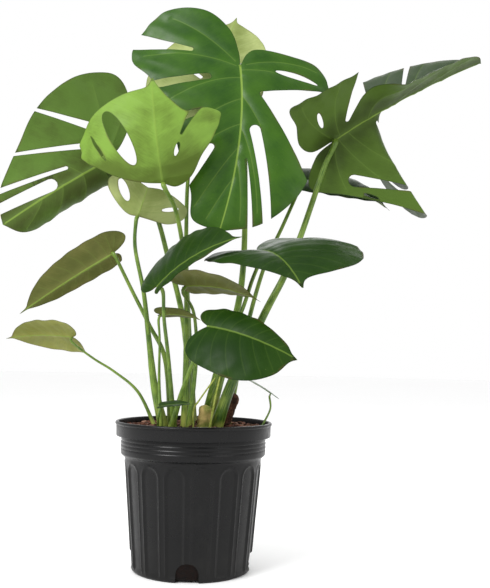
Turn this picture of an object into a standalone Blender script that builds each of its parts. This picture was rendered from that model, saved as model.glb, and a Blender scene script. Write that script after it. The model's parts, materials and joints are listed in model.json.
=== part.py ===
"""Potted monstera plant: split and whole leaves on sheathed stalks, in a fluted nursery pot.

The origin is the centre of the pot's underside, +Z is up and -Y is the side with the front
drainage hole. Places on the plant are measured from the middle of the soil's surface.
"""
import math

import bpy
from mathutils import Matrix, Vector
from mathutils.geometry import delaunay_2d_cdt

# ---------------------------------------------------------------- driving dimensions (metres)
POT_HEIGHT = 0.222
POT_RIM_RADIUS = 0.120
BAND_INSET = 0.0095
BODY_INSET = 0.0155
BASE_INSET = 0.0295
POT_WALL = 0.0024
POT_FLOOR = 0.0025
LIP_HEIGHT = 0.0220
LIP_ROLL = 0.0028
BAND_HEIGHT = 0.0260
SHOULDER_HEIGHT = 0.0070
FOOT_ROUNDING = 0.0045
FLUTES = 16
FLUTE_DEPTH = 0.0014
FLUTE_WIDTH = 0.028
FLUTE_TOP_GAP = 0.008
FLUTE_SHOULDER = 0.010
FLUTE_EDGE = 0.0014
DRAIN_HOLES = 4
DRAIN_WIDTH = 0.033
DRAIN_HEIGHT = 0.028
DRAIN_REACH = 0.012
DRAIN_OVERRUN = 0.02

HEADSPACE = 0.009
PLANT_SCALE = 1.0
BLADE_THICKNESS = 0.0010
STALK_STOUTNESS = 1.0
GAP = 0.0003
JOINT_GAP = 0.0005
SHEATH_TAPER = 3.2
RUN_IN_SLANT = 0.35
SEEDLING_SOIL_RADIUS = 0.1145
ROD_TAPER = 0.75

# ---------------------------------------------------------------- how fine the meshes are
BLADE_STEP = 0.018
BLADE_ROWS = 7
RIB_CLEARANCE = 0.6
RIM_CLEARANCE = 0.45
CUT_STEPS = 4
STALK_SIDES = 8
STALK_RINGS = 10
RING_BUNCHING = 1.25
PATH_STEP = 0.004
ARCH_STEPS = 8
SHARP_ANGLE = 40

SOIL_TOP = POT_HEIGHT - HEADSPACE
BAND_RADIUS = POT_RIM_RADIUS - BAND_INSET
POT_BODY_TOP_RADIUS = POT_RIM_RADIUS - BODY_INSET
POT_BASE_RADIUS = POT_RIM_RADIUS - BASE_INSET
SOIL_RADIUS = POT_RIM_RADIUS - LIP_ROLL - POT_WALL - GAP

# ---------------------------------------------------------------- colours (linear red, green, blue)
UPPER_GREEN = (0.035, 0.110, 0.020)
MID_GREEN = (0.090, 0.200, 0.030)
BRIGHT_GREEN = (0.220, 0.420, 0.050)
OLIVE_GREEN = (0.130, 0.170, 0.045)
STALK_GREEN = (0.150, 0.260, 0.045)
PALE_STALK = (0.400, 0.480, 0.120)
BARK_BROWN = (0.160, 0.090, 0.040)
SOIL_BROWN = (0.090, 0.040, 0.022)
POT_BLACK = (0.012, 0.012, 0.013)

# A whole blade's right edge from the stalk round to the tip: (side, along). Side is in half
# widths; along is in basal lobes where it is negative and in blade lengths where it is positive.
HEART = (
    (0.00, 0.00), (0.07, -0.45), (0.22, -0.85), (0.45, -1.00), (0.74, -0.76),
    (0.94, -0.20), (1.00, 0.16), (0.95, 0.40), (0.79, 0.62), (0.52, 0.79), (0.21, 0.90), (0.06, 0.945),
    (0.00, 1.03),
)

# ---------------------------------------------------------------- the blades
# Each blade has its stalk joint (base), its tip and the way its upper side faces. The arch is how
# far the midrib turns between the two. Pairs are (right, left) as seen on the upper side with
# the tip away: fold is how far a half rises from the midrib, and curl how far it turns down
# again towards its margin, in degrees. Outlines, cuts and holes are in blade lengths, as
# (side, along) from the stalk joint. A cut is (side sign, inner end, outer end, inner width,
# outer width) and a hole (side sign, one end, other end, width), with widths in blade lengths.
BLADES = (
    dict(
        name="blade_centre", base=(0.060, 0.000, 0.570), tip=(0.034, -0.050, 0.296),
        face=(0.0, -1.0, 0.15), arch=24, back=-60, fold=(6, 6), curl=(20, 30), sway=-0.05,
        right=(
            (0.0, 0.0), (0.02, -0.10), (0.09, -0.24), (0.25, -0.34), (0.48, -0.31), (0.62, -0.12),
            (0.62, 0.02), (0.52, 0.13), (0.45, 0.26), (0.38, 0.40), (0.32, 0.58), (0.21, 0.80),
            (0.16, 0.95), (0.0, 1.0),
        ),
        left=(
            (0.0, 0.0), (0.03, -0.09), (0.10, -0.125), (0.29, -0.11), (0.44, -0.09), (0.52, 0.01),
            (0.52, 0.15), (0.50, 0.36), (0.42, 0.60), (0.35, 0.78), (0.20, 0.94), (0.0, 1.0),
        ),
        cuts=(
            (1, (0.29, -0.08), (0.68, -0.13), 0.025, 0.11),
            (1, (0.19, 0.10), (0.60, 0.20), 0.04, 0.06),
            (1, (0.22, 0.33), (0.50, 0.44), 0.03, 0.09),
            (1, (0.15, 0.54), (0.34, 0.90), 0.04, 0.11),
            (-1, (0.12, 0.18), (0.77, 0.44), 0.04, 1.06),
            (-1, (0.08, 0.41), (0.27, 1.04), 0.06, 0.04),
            (-1, (0.05, 0.59), (0.18, 1.06), 0.012, 0.03),
        ),
        holes=((-1, (0.20, 0.01), (0.45, 0.03), 0.04),),
        colour=MID_GREEN, stalk=0.0036,
    ),
    dict(
        name="blade_left", base=(-0.150, -0.020, 0.404), tip=(-0.292, -0.050, 0.300),
        face=(0.1, 1.0, -0.05), arch=-15, fold=(10, -6), curl=(-150, 25),
        right=(
            (0.0, 0.0), (0.15, -0.20), (0.36, -0.05), (0.40, 0.30), (0.34, 0.60), (0.18, 0.88),
            (0.0, 1.0),
        ),
        left=(
            (0.0, 0.0), (0.06, -0.22), (0.24, -0.44), (0.48, -0.54), (0.66, -0.48), (0.76, -0.20),
            (0.73, 0.08), (0.64, 0.30), (0.50, 0.50), (0.38, 0.68), (0.25, 0.86), (0.10, 0.96),
            (0.0, 1.0),
        ),
        cuts=(
            (-1, (0.32, -0.10), (0.76, 0.34), 0.07, 0.015),
            (-1, (0.22, 0.08), (0.53, 0.80), 0.05, 0.015),
            (-1, (0.12, 0.29), (0.29, 1.04), 0.03, 0.05),
            (-1, (0.06, 0.48), (0.14, 1.06), 0.11, 0.08),
        ),
        colour=MID_GREEN, stalk=0.0032,
    ),
    dict(
        name="blade_curled", base=(-0.049, -0.090, 0.360), tip=(-0.070, -0.080, 0.517),
        face=(0.0, 1.0, 0.1), arch=-75, fold=(-15, 15), curl=(-75, -20),
        right=(
            (0.0, 0.0), (0.15, 0.03), (0.34, 0.08), (0.58, 0.18), (0.80, 0.30), (0.81, 0.46),
            (0.74, 0.60), (0.54, 0.74), (0.26, 0.83), (0.06, 0.89), (0.0, 1.04),
        ),
        left=(
            (0.0, 0.0), (0.12, -0.06), (0.26, 0.0), (0.38, 0.18), (0.54, 0.42), (0.62, 0.70),
            (0.50, 0.76), (0.30, 0.66), (0.16, 0.76), (0.05, 0.92), (0.0, 1.06),
        ),
        cuts=((-1, (0.22, 0.42), (0.46, 0.86), 0.02, 0.10),),
        holes=(
            (1, (0.21, 0.19), (0.44, 0.70), 0.16),
            (1, (0.47, 0.25), (0.62, 0.52), 0.03),
            (-1, (0.14, 0.22), (0.19, 0.34), 0.04),
        ),
        colour=BRIGHT_GREEN, stalk=0.0030,
    ),
    dict(
        name="blade_small_split", base=(-0.089, -0.050, 0.317), tip=(-0.068, -0.068, 0.374),
        face=(0.0, 0.9, 0.4), arch=-30, fold=(12, 12), curl=(-35, -30),
        right=(
            (0.0, 0.0), (0.22, -0.06), (0.44, -0.02), (0.80, 0.14), (1.08, 0.36), (1.10, 0.60),
            (0.92, 0.78), (0.62, 0.86), (0.33, 0.82), (0.0, 0.74),
        ),
        left=(
            (0.0, 0.0), (0.28, -0.02), (0.76, -0.08), (1.06, 0.02), (1.20, 0.26), (1.16, 0.50),
            (0.90, 0.66), (0.60, 0.76), (0.32, 0.80), (0.0, 0.74),
        ),
        holes=((1, (0.35, 0.25), (0.78, 0.70), 0.26), (-1, (0.50, 0.30), (0.92, 0.44), 0.12)),
        colour=BRIGHT_GREEN, stalk=0.0024,
    ),
    dict(
        name="blade_right", base=(0.212, 0.030, 0.459), tip=(0.460, 0.060, 0.604),
        face=(-0.42, 0.05, 0.9), arch=12, fold=(38, -82), fold_tip=(5, 46), turn_at=(0.22, 0.42),
        curl=(20, 10),
        right=(
            (0.0, 0.0), (0.022, -0.14), (0.12, -0.20), (0.26, -0.19), (0.42, -0.20), (0.38, 0.02),
            (0.36, 0.22), (0.34, 0.42), (0.30, 0.62), (0.24, 0.80), (0.12, 0.94), (0.0, 1.0),
        ),
        left=(
            (0.0, 0.0), (0.022, -0.14), (0.14, -0.27), (0.29, -0.12), (0.46, 0.06), (0.66, 0.27),
            (0.56, 0.34), (0.42, 0.42), (0.38, 0.55), (0.30, 0.74), (0.16, 0.92), (0.0, 1.0),
        ),
        cuts=(
            (1, (0.08, 0.12), (0.44, 0.36), 0.03, 0.20),
            (-1, (0.25, -0.03), (0.56, 0.36), 0.07, 0.01),
            (-1, (0.05, 0.29), (0.60, 0.43), 0.02, 0.20),
            (-1, (0.12, 0.56), (0.40, 0.76), 0.02, 0.04),
        ),
        holes=((1, (0.13, -0.04), (0.25, -0.05), 0.03), (-1, (0.34, -0.03), (0.41, 0.03), 0.02)),
        colour=MID_GREEN, stalk=0.0038,
    ),
    dict(
        name="blade_right_rear", base=(0.170, 0.110, 0.412), tip=(0.320, 0.140, 0.370),
        face=(-0.1, -0.5, 0.85), arch=35, fold=(25, 25), curl=(50, 50),
        half=(0.42, 0.42), lobe=(0.22, 0.22),
        colour=UPPER_GREEN, stalk=0.0028,
    ),
    dict(
        name="blade_rear", base=(0.013, 0.070, 0.544), tip=(0.049, 0.170, 0.716),
        face=(0.1, 0.8, -0.4), arch=-20, fold=(12, 12), curl=(20, 20),
        half=(0.60, 0.42), lobe=(0.26, 0.26),
        cuts=(
            (1, (0.14, 0.20), (0.50, 0.50), 0.03, 0.06),
            (-1, (0.14, 0.24), (0.50, 0.54), 0.03, 0.06),
            (1, (0.10, 0.48), (0.40, 0.80), 0.03, 0.05),
        ),
        colour=OLIVE_GREEN, stalk=0.0028,
    ),
    dict(
        name="blade_right_middle", base=(0.094, -0.114, 0.260), tip=(0.146, -0.228, 0.202),
        face=(0.0, -0.30, 1.0), arch=45, back=-30, fold=(8, 24), curl=(30, 42),
        right=(
            (0.0, 0.0), (0.06, -0.16), (0.19, -0.26), (0.36, -0.27), (0.52, -0.17), (0.61, 0.03),
            (0.59, 0.28), (0.49, 0.50), (0.35, 0.68), (0.17, 0.84), (0.05, 0.93), (0.0, 1.03),
        ),
        left=(
            (0.0, 0.0), (0.07, -0.22), (0.22, -0.38), (0.42, -0.43), (0.63, -0.36), (0.80, -0.14),
            (0.87, 0.14), (0.88, 0.46), (0.80, 0.72), (0.60, 0.88), (0.33, 0.94), (0.08, 0.95),
            (0.0, 1.06),
        ),
        colour=UPPER_GREEN, stalk=0.0026,
    ),
    dict(
        name="blade_left_middle", base=(-0.049, -0.130, 0.205), tip=(0.066, -0.170, 0.271),
        face=(-0.25, -0.75, 0.7), arch=40, back=-20, fold=(10, 6), curl=(12, 35),
        half=(0.12, 0.57), lobe=(0.04, 0.26),
        colour=UPPER_GREEN, stalk=0.0024,
    ),
    dict(
        name="blade_right_low", base=(0.025, -0.170, 0.149), tip=(0.141, -0.210, 0.108),
        face=(0.0, -0.85, 0.5), arch=40, fold=(10, 14), curl=(30, 40),
        right=(
            (0.0, 0.0), (0.10, -0.08), (0.22, -0.12), (0.35, -0.08), (0.44, 0.05), (0.49, 0.28),
            (0.50, 0.52), (0.43, 0.73), (0.27, 0.90), (0.08, 0.97), (0.0, 1.03),
        ),
        left=(
            (0.0, 0.0), (0.05, -0.10), (0.13, -0.17), (0.22, -0.15), (0.27, 0.01), (0.27, 0.24),
            (0.23, 0.51), (0.16, 0.70), (0.09, 0.87), (0.03, 0.95), (0.0, 1.03),
        ),
        colour=UPPER_GREEN, stalk=0.0024,
    ),
    dict(
        name="blade_left_hanging", base=(-0.126, -0.050, 0.259), tip=(-0.253, -0.070, 0.168),
        face=(-0.2, 0.9, 0.35), arch=25, fold=(35, 10), curl=(20, 25),
        half=(0.15, 0.24), lobe=(0.06, 0.20),
        colour=OLIVE_GREEN, stalk=0.0024,
    ),
    dict(
        name="blade_left_low", base=(-0.187, -0.020, 0.134), tip=(-0.294, 0.010, 0.131),
        face=(0.0, 0.55, 0.85), arch=20, fold=(12, 12), curl=(20, 20),
        half=(0.44, 0.36), lobe=(0.03, 0.10),
        colour=OLIVE_GREEN, stalk=0.0016,
    ),
    dict(
        name="blade_inner", base=(-0.012, -0.078, 0.211), tip=(0.094, -0.125, 0.188),
        face=(0.05, 0.30, 0.95), arch=30, fold=(16, 16), curl=(25, 25),
        half=(0.42, 0.32), lobe=(0.16, 0.10),
        colour=OLIVE_GREEN, stalk=0.0022,
    ),
    dict(
        name="blade_inner_small", base=(-0.047, -0.086, 0.168), tip=(0.012, -0.104, 0.160),
        face=(0.2, 0.3, 0.95), arch=25, fold=(20, 20), curl=(20, 20),
        half=(0.30, 0.30), lobe=(0.12, 0.12),
        colour=OLIVE_GREEN, stalk=0.0016,
    ),
    dict(
        name="blade_seedling_right", base=(0.116, -0.034, 0.055), tip=(0.070, -0.050, 0.080),
        face=(0.3, -0.12, 1.0), arch=10, fold=(8, 8), curl=(10, 10),
        half=(0.24, 0.24), lobe=(0.26, 0.26),
        colour=MID_GREEN, stalk=0.0013,
    ),
    dict(
        name="blade_seedling_front", base=(-0.042, -0.107, 0.037), tip=(0.003, -0.113, 0.041),
        face=(0.0, -0.3, 1.0), arch=10, fold=(12, 12), curl=(10, 10),
        half=(0.30, 0.30), lobe=(0.08, 0.08),
        colour=UPPER_GREEN, stalk=0.0013,
    ),
)

# ---------------------------------------------------------------- the stalks
# Each stalk's route from the soil up to just short of its blade, the radius of the sheathed
# foot, and how far it runs straight under the blade before it bends. A seedling stands between
# the wall and a neighbour this far from the middle, drawn on soil of SEEDLING_SOIL_RADIUS.
STALKS = {
    "centre": dict(
        foot=0.0085, run_in=0.020,
        route=(
            (0.020, 0.030, 0.0), (0.056, 0.034, 0.151), (0.070, 0.034, 0.240), (0.072, 0.044, 0.354),
            (0.068, 0.040, 0.480),
        ),
    ),
    "left": dict(
        foot=0.0075, run_in=0.014,
        route=(
            (-0.006, 0.014, 0.0), (-0.019, 0.018, 0.149), (-0.049, 0.006, 0.268), (-0.068, -0.010, 0.330),
            (-0.100, -0.030, 0.382),
        ),
    ),
    "curled": dict(
        foot=0.0075, run_in=0.012,
        route=(
            (-0.012, -0.024, 0.0), (-0.013, -0.025, 0.140), (-0.017, -0.030, 0.240),
            (-0.029, -0.068, 0.318),
        ),
    ),
    "small_split": dict(
        foot=0.0088, run_in=0.010,
        route=(
            (-0.042, -0.046, 0.0), (-0.057, -0.051, 0.062), (-0.067, -0.057, 0.135),
            (-0.076, -0.062, 0.203), (-0.091, -0.056, 0.268),
        ),
    ),
    "right": dict(
        foot=0.0105, run_in=0.014,
        route=(
            (0.034, -0.012, 0.0), (0.059, -0.018, 0.073), (0.104, -0.030, 0.173), (0.135, -0.024, 0.235),
            (0.158, -0.012, 0.294), (0.176, 0.000, 0.348), (0.198, 0.014, 0.415),
        ),
    ),
    "right_rear": dict(
        foot=0.0060, run_in=0.012,
        route=(
            (0.050, 0.044, 0.0), (0.078, 0.054, 0.152), (0.106, 0.074, 0.259), (0.136, 0.094, 0.330),
        ),
    ),
    "rear": dict(
        foot=0.0065, run_in=0.012,
        route=(
            (-0.004, 0.050, 0.0), (-0.019, 0.062, 0.200), (-0.024, 0.066, 0.309),
            (-0.020, 0.062, 0.430),
        ),
    ),
    "right_middle": dict(
        foot=0.0055, run_in=0.012,
        route=(
            (0.012, -0.008, 0.0), (0.038, -0.040, 0.100), (0.070, -0.074, 0.175),
            (0.084, -0.092, 0.218),
        ),
    ),
    "left_middle": dict(
        foot=0.0050, run_in=0.012,
        route=((-0.026, -0.056, 0.0), (-0.034, -0.084, 0.100), (-0.040, -0.108, 0.160)),
    ),
    "right_low": dict(
        foot=0.0055, run_in=0.012,
        route=((-0.030, -0.072, 0.0), (-0.012, -0.090, 0.060), (0.008, -0.124, 0.110)),
    ),
    "left_hanging": dict(
        foot=0.0065, run_in=0.010,
        route=(
            (-0.032, -0.026, 0.0), (-0.044, -0.030, 0.102), (-0.069, -0.036, 0.154),
            (-0.096, -0.044, 0.206),
        ),
    ),
    "left_low": dict(
        foot=0.0034, run_in=0.008,
        route=(
            (-0.058, -0.016, 0.0), (-0.086, -0.012, 0.052), (-0.123, -0.010, 0.082),
            (-0.156, -0.012, 0.102),
        ),
    ),
    "inner": dict(
        foot=0.0050, run_in=0.010,
        route=((-0.006, -0.050, 0.0), (0.004, -0.058, 0.100), (0.000, -0.066, 0.170)),
    ),
    "inner_small": dict(
        foot=0.0036, run_in=0.008,
        route=((-0.044, -0.066, 0.0), (-0.048, -0.074, 0.070), (-0.048, -0.083, 0.130)),
    ),
    "seedling_right": dict(
        foot=0.0018, run_in=0.004, neighbour=0.046,
        route=((0.100, -0.036, 0.0), (0.107, -0.035, 0.012), (0.116, -0.033, 0.032)),
    ),
    "seedling_front": dict(
        foot=0.0018, run_in=0.004, neighbour=0.078,
        route=((-0.047, -0.082, 0.0), (-0.047, -0.086, 0.010), (-0.045, -0.100, 0.022)),
    ),
}

# Thin pale roots that stand up beside the sheathed feet: route from the soil, and radius.
ROOTS = {
    "root_front_right": dict(
        radius=0.0017, route=((0.026, -0.053, 0.0), (0.032, -0.053, 0.040), (0.040, -0.051, 0.080)),
    ),
    "root_front_left": dict(
        radius=0.0014,
        route=((0.003, -0.068, 0.0), (0.003, -0.071, 0.030), (0.012, -0.075, 0.046), (0.034, -0.08, 0.078)),
    ),
}

# The thick bare stem and the short stub of a cut stalk: where each stands, where it leans to,
# and its radius.
STEMS = {
    "stem_right": dict(foot=(0.044, 0.012, 0.0), top=(0.062, 0.012, 0.052), radius=0.0100),
    "stem_stub": dict(foot=(0.016, -0.036, 0.0), top=(0.019, -0.038, 0.036), radius=0.0100),
}


# ---------------------------------------------------------------- geometry helpers
def turning_run(start, rate, run):
    """Distance gone along and above a line by a path that starts at an angle and turns evenly."""
    if abs(rate) < 1e-6:
        return run * math.cos(start), run * math.sin(start)
    end = start - rate * run
    return (math.sin(start) - math.sin(end)) / rate, (math.cos(end) - math.cos(start)) / rate


def smooth_step(low, high, value):
    """0 below low, 1 above high, and an even S between them."""
    part = min(max((value - low) / (high - low), 0.0), 1.0)
    return part * part * (3.0 - 2.0 * part)


def through(points, step):
    """Points about a step apart on a smooth curve through the given ones."""
    knots = [Vector(p) for p in points]
    knots = [2 * knots[0] - knots[1]] + knots + [2 * knots[-1] - knots[-2]]
    curve = []
    for a, b, c, d in zip(knots, knots[1:], knots[2:], knots[3:]):
        count = max(1, round((c - b).length / step))
        for k in range(count):
            t = k / count
            square = (2 * a - 5 * b + 4 * c - d) * t * t
            cube = (3 * b - a - 3 * c + d) * t ** 3
            curve.append(0.5 * (2 * b + (c - a) * t + square + cube))
    curve.append(knots[-2])
    return curve


def material(name, colour, roughness=0.5, metallic=0.0):
    """A plain surface of one colour."""
    surface = bpy.data.materials.new(name)
    surface.use_nodes = True
    shader = surface.node_tree.nodes["Principled BSDF"]
    shader.inputs["Base Color"].default_value = (*colour, 1.0)
    shader.inputs["Roughness"].default_value = roughness
    shader.inputs["Metallic"].default_value = metallic
    return surface


def add_object(name, mesh, surface):
    """Put a mesh in the scene as one named, smooth-shaded object."""
    mesh.materials.append(surface)
    mesh.shade_smooth()
    mesh.set_sharp_from_angle(angle=math.radians(SHARP_ANGLE))
    thing = bpy.data.objects.new(name, mesh)
    bpy.context.scene.collection.objects.link(thing)
    return thing


def on_plant(point):
    """A place given from the middle of the soil's surface, in the model's frame."""
    return Vector(point) * PLANT_SCALE + Vector((0.0, 0.0, SOIL_TOP))


def foot_shift(name):
    """How far a whole leaf moves: a seedling keeps its share of the soil beyond its neighbour."""
    sizes = STALKS[name]
    if "neighbour" not in sizes:
        return Vector((0.0, 0.0, 0.0))
    foot = Vector(sizes["route"][0])
    near = sizes["neighbour"]
    room = (SOIL_RADIUS - near * PLANT_SCALE) / (SEEDLING_SOIL_RADIUS - near)
    radius = near * PLANT_SCALE + (foot.length - near) * room
    return foot * (radius / foot.length - PLANT_SCALE)


# ---------------------------------------------------------------- blades
class Blade:
    """One leaf blade: its flat outline, and how the flat leaf is arched, folded and curled."""

    def __init__(self, sizes):
        self.name = sizes["name"]
        self.shift = foot_shift(self.name.replace("blade_", ""))
        self.base = on_plant(sizes["base"]) + self.shift
        chord = on_plant(sizes["tip"]) + self.shift - self.base
        self.arch = math.radians(sizes["arch"])
        half_arch = self.arch / 2
        self.length = chord.length * (half_arch / math.sin(half_arch) if abs(half_arch) > 1e-6 else 1.0)
        self.chord = chord.normalized()
        face = Vector(sizes["face"])
        self.face = (face - face.dot(self.chord) * self.chord).normalized()
        self.across = self.chord.cross(self.face)
        self.back = math.radians(sizes.get("back", sizes["arch"]))
        self.fold = [math.radians(a) for a in sizes["fold"]]
        self.fold_tip = [math.radians(a) for a in sizes.get("fold_tip", sizes["fold"])]
        self.turn_at = sizes.get("turn_at", (0.2, 0.6))
        self.curl = [math.radians(a) for a in sizes["curl"]]
        self.sway = sizes.get("sway", 0.0)
        self.sides = [self.side_outline(sizes, k) for k in (0, 1)]
        self.reach = [max(p[0] for p in side) * self.length for side in self.sides]
        self.cuts = sizes.get("cuts", ())
        self.holes = sizes.get("holes", ())
        self.colour = sizes["colour"]
        self.stalk_radius = sizes["stalk"] * STALK_STOUTNESS

    def side_outline(self, sizes, side):
        """One side's outline points, its own or the common heart shape."""
        own = sizes.get(("right", "left")[side])
        if own:
            return own
        half, lobe = sizes["half"][side], sizes["lobe"][side]
        return [(s * half, a * (lobe if a < 0 else 1.0)) for s, a in HEART]

    def frame(self, along):
        """Place on the midrib, its direction and the upper side's direction there."""
        rate = (self.back if along < 0 else self.arch) / self.length
        run, rise = turning_run(self.arch / 2, rate, along)
        angle = self.arch / 2 - rate * along
        place = self.base + self.chord * run + self.face * rise
        forward = self.chord * math.cos(angle) + self.face * math.sin(angle)
        up = self.face * math.cos(angle) - self.chord * math.sin(angle)
        return place, forward, up

    def point(self, side, along, height=0.0):
        """Where a point of the flat blade lies, height above it on the upper side."""
        place, _, up = self.frame(along)
        k = 0 if side >= 0 else 1
        share = smooth_step(*self.turn_at, along / self.length)
        fold = self.fold[k] + (self.fold_tip[k] - self.fold[k]) * share
        rate = self.curl[k] / self.reach[k]
        out, rise = turning_run(fold, rate, abs(side))
        angle = fold - rate * abs(side)
        sign = 1.0 if side >= 0 else -1.0
        part = min(max(along / self.length, 0.0), 1.0)
        bow = self.sway * self.length * 4.0 * part * (1.0 - part)
        normal = up * math.cos(angle) - self.across * (sign * math.sin(angle))
        return place + self.across * (sign * out + bow) + up * rise + normal * height

    def outline(self, step):
        """The whole flat outline, tip to sinus up the left side and back down the right."""
        right = through([(s, a, 0.0) for s, a in self.sides[0]], step / self.length)
        left = through([(-s, a, 0.0) for s, a in self.sides[1]], step / self.length)
        loop = right + left[-2:0:-1]
        return [Vector((p.x, p.y)) * self.length for p in loop]

    def slot(self, sign, inner, outer, inner_width, outer_width):
        """A cut's flat outline: a slot with a round inner end that opens past the margin."""
        start = Vector((sign * inner[0], inner[1])) * self.length
        end = Vector((sign * outer[0], outer[1])) * self.length
        run = (end - start).normalized()
        normal = Vector((-run.y, run.x))
        near, far = [], []
        for k in range(CUT_STEPS + 1):
            part = k / CUT_STEPS
            half = 0.5 * self.length * (inner_width + (outer_width - inner_width) * part)
            middle = start.lerp(end, part)
            near.append(middle + normal * half)
            far.append(middle - normal * half)
        cap = start - run * (0.5 * self.length * inner_width)
        return [cap] + far + near[::-1]

    def lens(self, sign, one, other, width):
        """A hole's flat outline: a lens between two points."""
        start = Vector((sign * one[0], one[1])) * self.length
        end = Vector((sign * other[0], other[1])) * self.length
        run = (end - start).normalized()
        normal = Vector((-run.y, run.x)) * (0.5 * self.length * width)
        loop = []
        for k in range(2 * CUT_STEPS):
            angle = math.pi * k / CUT_STEPS
            loop.append(start.lerp(end, 0.5 - 0.5 * math.cos(angle)) - normal * math.sin(angle))
        return loop

    def flat_mesh(self, step):
        """Flat points and triangles of the blade with its cuts and holes taken out."""
        loops = [self.outline(step)]
        loops += [self.slot(*cut) for cut in self.cuts]
        loops += [self.lens(*hole) for hole in self.holes]
        points, faces = [], []
        for loop in loops:
            faces.append(list(range(len(points), len(points) + len(loop))))
            points += loop
        points += self.inner_points(loops, step)
        flat, _, triangles, _, _, origins = delaunay_2d_cdt(points, [], faces, 1, 1e-6, True)
        kept = [t for t, origin in zip(triangles, origins) if origin == [0]]
        used = sorted({v for t in kept for v in t})
        renumber = {v: k for k, v in enumerate(used)}
        return [flat[v] for v in used], [[renumber[v] for v in t] for t in kept]

    def inner_points(self, loops, step):
        """A triangular grid of points inside the outline, with a row of them on the midrib."""
        rim = [(a, b) for loop in loops for a, b in zip(loop, loop[1:] + loop[:1])]
        low = Vector((min(p.x for p in loops[0]), min(p.y for p in loops[0])))
        high = Vector((max(p.x for p in loops[0]), max(p.y for p in loops[0])))
        grid = [Vector((0.0, k * step)) for k in range(1, int(self.length / step))]
        row_gap = step * math.sqrt(3) / 2
        columns = int((high.x - low.x) / step) + 2
        for row in range(int((high.y - low.y) / row_gap) + 2):
            for column in range(columns):
                x = (column - columns // 2 + 0.5 * (row % 2)) * step
                if abs(x) > RIB_CLEARANCE * step:
                    grid.append(Vector((x, low.y + row * row_gap)))
        return [p for p in grid if self.clear_of(p, rim, RIM_CLEARANCE * step)]

    @staticmethod
    def clear_of(point, rim, gap):
        """Whether a flat point keeps a gap to every rim edge."""
        for a, b in rim:
            edge = b - a
            part = min(max((point - a).dot(edge) / max(edge.length_squared, 1e-12), 0.0), 1.0)
            if (point - a - edge * part).length < gap:
                return False
        return True


def build_blade(blade):
    """A thin closed solid of the blade's shape."""
    flat, triangles = blade.flat_mesh(min(BLADE_STEP, blade.length / BLADE_ROWS))
    mesh = bpy.data.meshes.new(blade.name)
    mesh.from_pydata([blade.point(p.x, p.y) for p in flat], [], triangles)
    thing = add_object(blade.name, mesh, material(blade.name, blade.colour, 0.42))
    shell = thing.modifiers.new("thickness", "SOLIDIFY")
    shell.thickness = BLADE_THICKNESS
    shell.offset = 0.0
    return thing


# ---------------------------------------------------------------- round members
def ring(middle, normal, toward, radius):
    """A circle of points about a place, starting toward a direction."""
    first = (toward - toward.dot(normal) * normal).normalized()
    second = normal.cross(first)
    turns = [2 * math.pi * k / STALK_SIDES for k in range(STALK_SIDES)]
    return [middle + (first * math.cos(t) + second * math.sin(t)) * radius for t in turns]


def tube_mesh(name, rings):
    """A closed tube through rings of equally many points, with flat ends."""
    count = len(rings[0])
    points = [p for r in rings for p in r]
    faces = [list(range(count))[::-1], list(range(len(points) - count, len(points)))]
    for level in range(len(rings) - 1):
        low = level * count
        for k in range(count):
            following = (k + 1) % count
            faces.append([low + k, low + following, low + count + following, low + count + k])
    mesh = bpy.data.meshes.new(name)
    mesh.from_pydata(points, [], faces)
    return mesh


def tube_rings(route, radii, first_normal, last_normal):
    """Rings along a route, the end ones square to the given directions."""
    rings = []
    toward = Vector((1.0, 0.0, 0.0))
    for k, (place, radius) in enumerate(zip(route, radii)):
        if k == 0:
            normal = first_normal
        elif k == len(route) - 1:
            normal = last_normal
        else:
            normal = (route[k + 1] - route[k - 1]).normalized()
        toward = (toward - toward.dot(normal) * normal).normalized()
        rings.append(ring(place, normal, toward, radius))
    return rings


def build_stalk(blade, sizes):
    """The leaf's stalk: a sheathed foot on the soil, thinning up to its joint under the blade."""
    place, forward, up = blade.frame(0.0)
    lean = (blade.fold[0] - blade.fold[1]) / 2
    opening = (math.pi + blade.fold[0] + blade.fold[1]) / 2
    below = blade.across * math.sin(lean) - up * math.cos(lean)
    standoff = (BLADE_THICKNESS / 2 + JOINT_GAP) / min(1.0, math.sin(opening))
    if opening < math.pi / 2:
        standoff += blade.stalk_radius / math.tan(opening)
    end = place + below * standoff
    run_in = sizes["run_in"] * PLANT_SCALE
    route = [on_plant(p) + blade.shift for p in sizes["route"]]
    route[0].z += GAP
    route += [end + below * run_in - forward * (RUN_IN_SLANT * run_in), end]
    path = through(route, PATH_STEP)
    lengths = [0.0]
    for a, b in zip(path, path[1:]):
        lengths.append(lengths[-1] + (b - a).length)
    total = lengths[-1]
    picks, radii = [], []
    foot = sizes["foot"] * STALK_STOUTNESS
    for k in range(STALK_RINGS + 1):
        share = 1.0 - (1.0 - k / STALK_RINGS) ** RING_BUNCHING
        index = min(range(len(path)), key=lambda i: abs(lengths[i] - share * total))
        picks.append(path[index])
        sheath = math.exp(-SHEATH_TAPER * lengths[index] / total)
        radii.append(blade.stalk_radius + (foot - blade.stalk_radius) * sheath)
    rings = tube_rings(picks, radii, Vector((0.0, 0.0, 1.0)), -below)
    name = blade.name.replace("blade", "stalk")
    return add_object(name, tube_mesh(name, rings), material(name, STALK_GREEN, 0.45))


def build_rod(name, sizes, colour):
    """A short round stem or thin root that stands on the soil."""
    places = sizes["route"] if "route" in sizes else (sizes["foot"], sizes["top"])
    route = [on_plant(p) for p in places]
    route[0].z += GAP
    path = through(route, 2 * PATH_STEP)
    radius = sizes["radius"] * STALK_STOUTNESS
    radii = [radius] * (len(path) - 1) + [radius * ROD_TAPER]
    end = (path[-1] - path[-2]).normalized()
    mesh = tube_mesh(name, tube_rings(path, radii, Vector((0.0, 0.0, 1.0)), end))
    return add_object(name, mesh, material(name, colour, 0.7))


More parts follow.
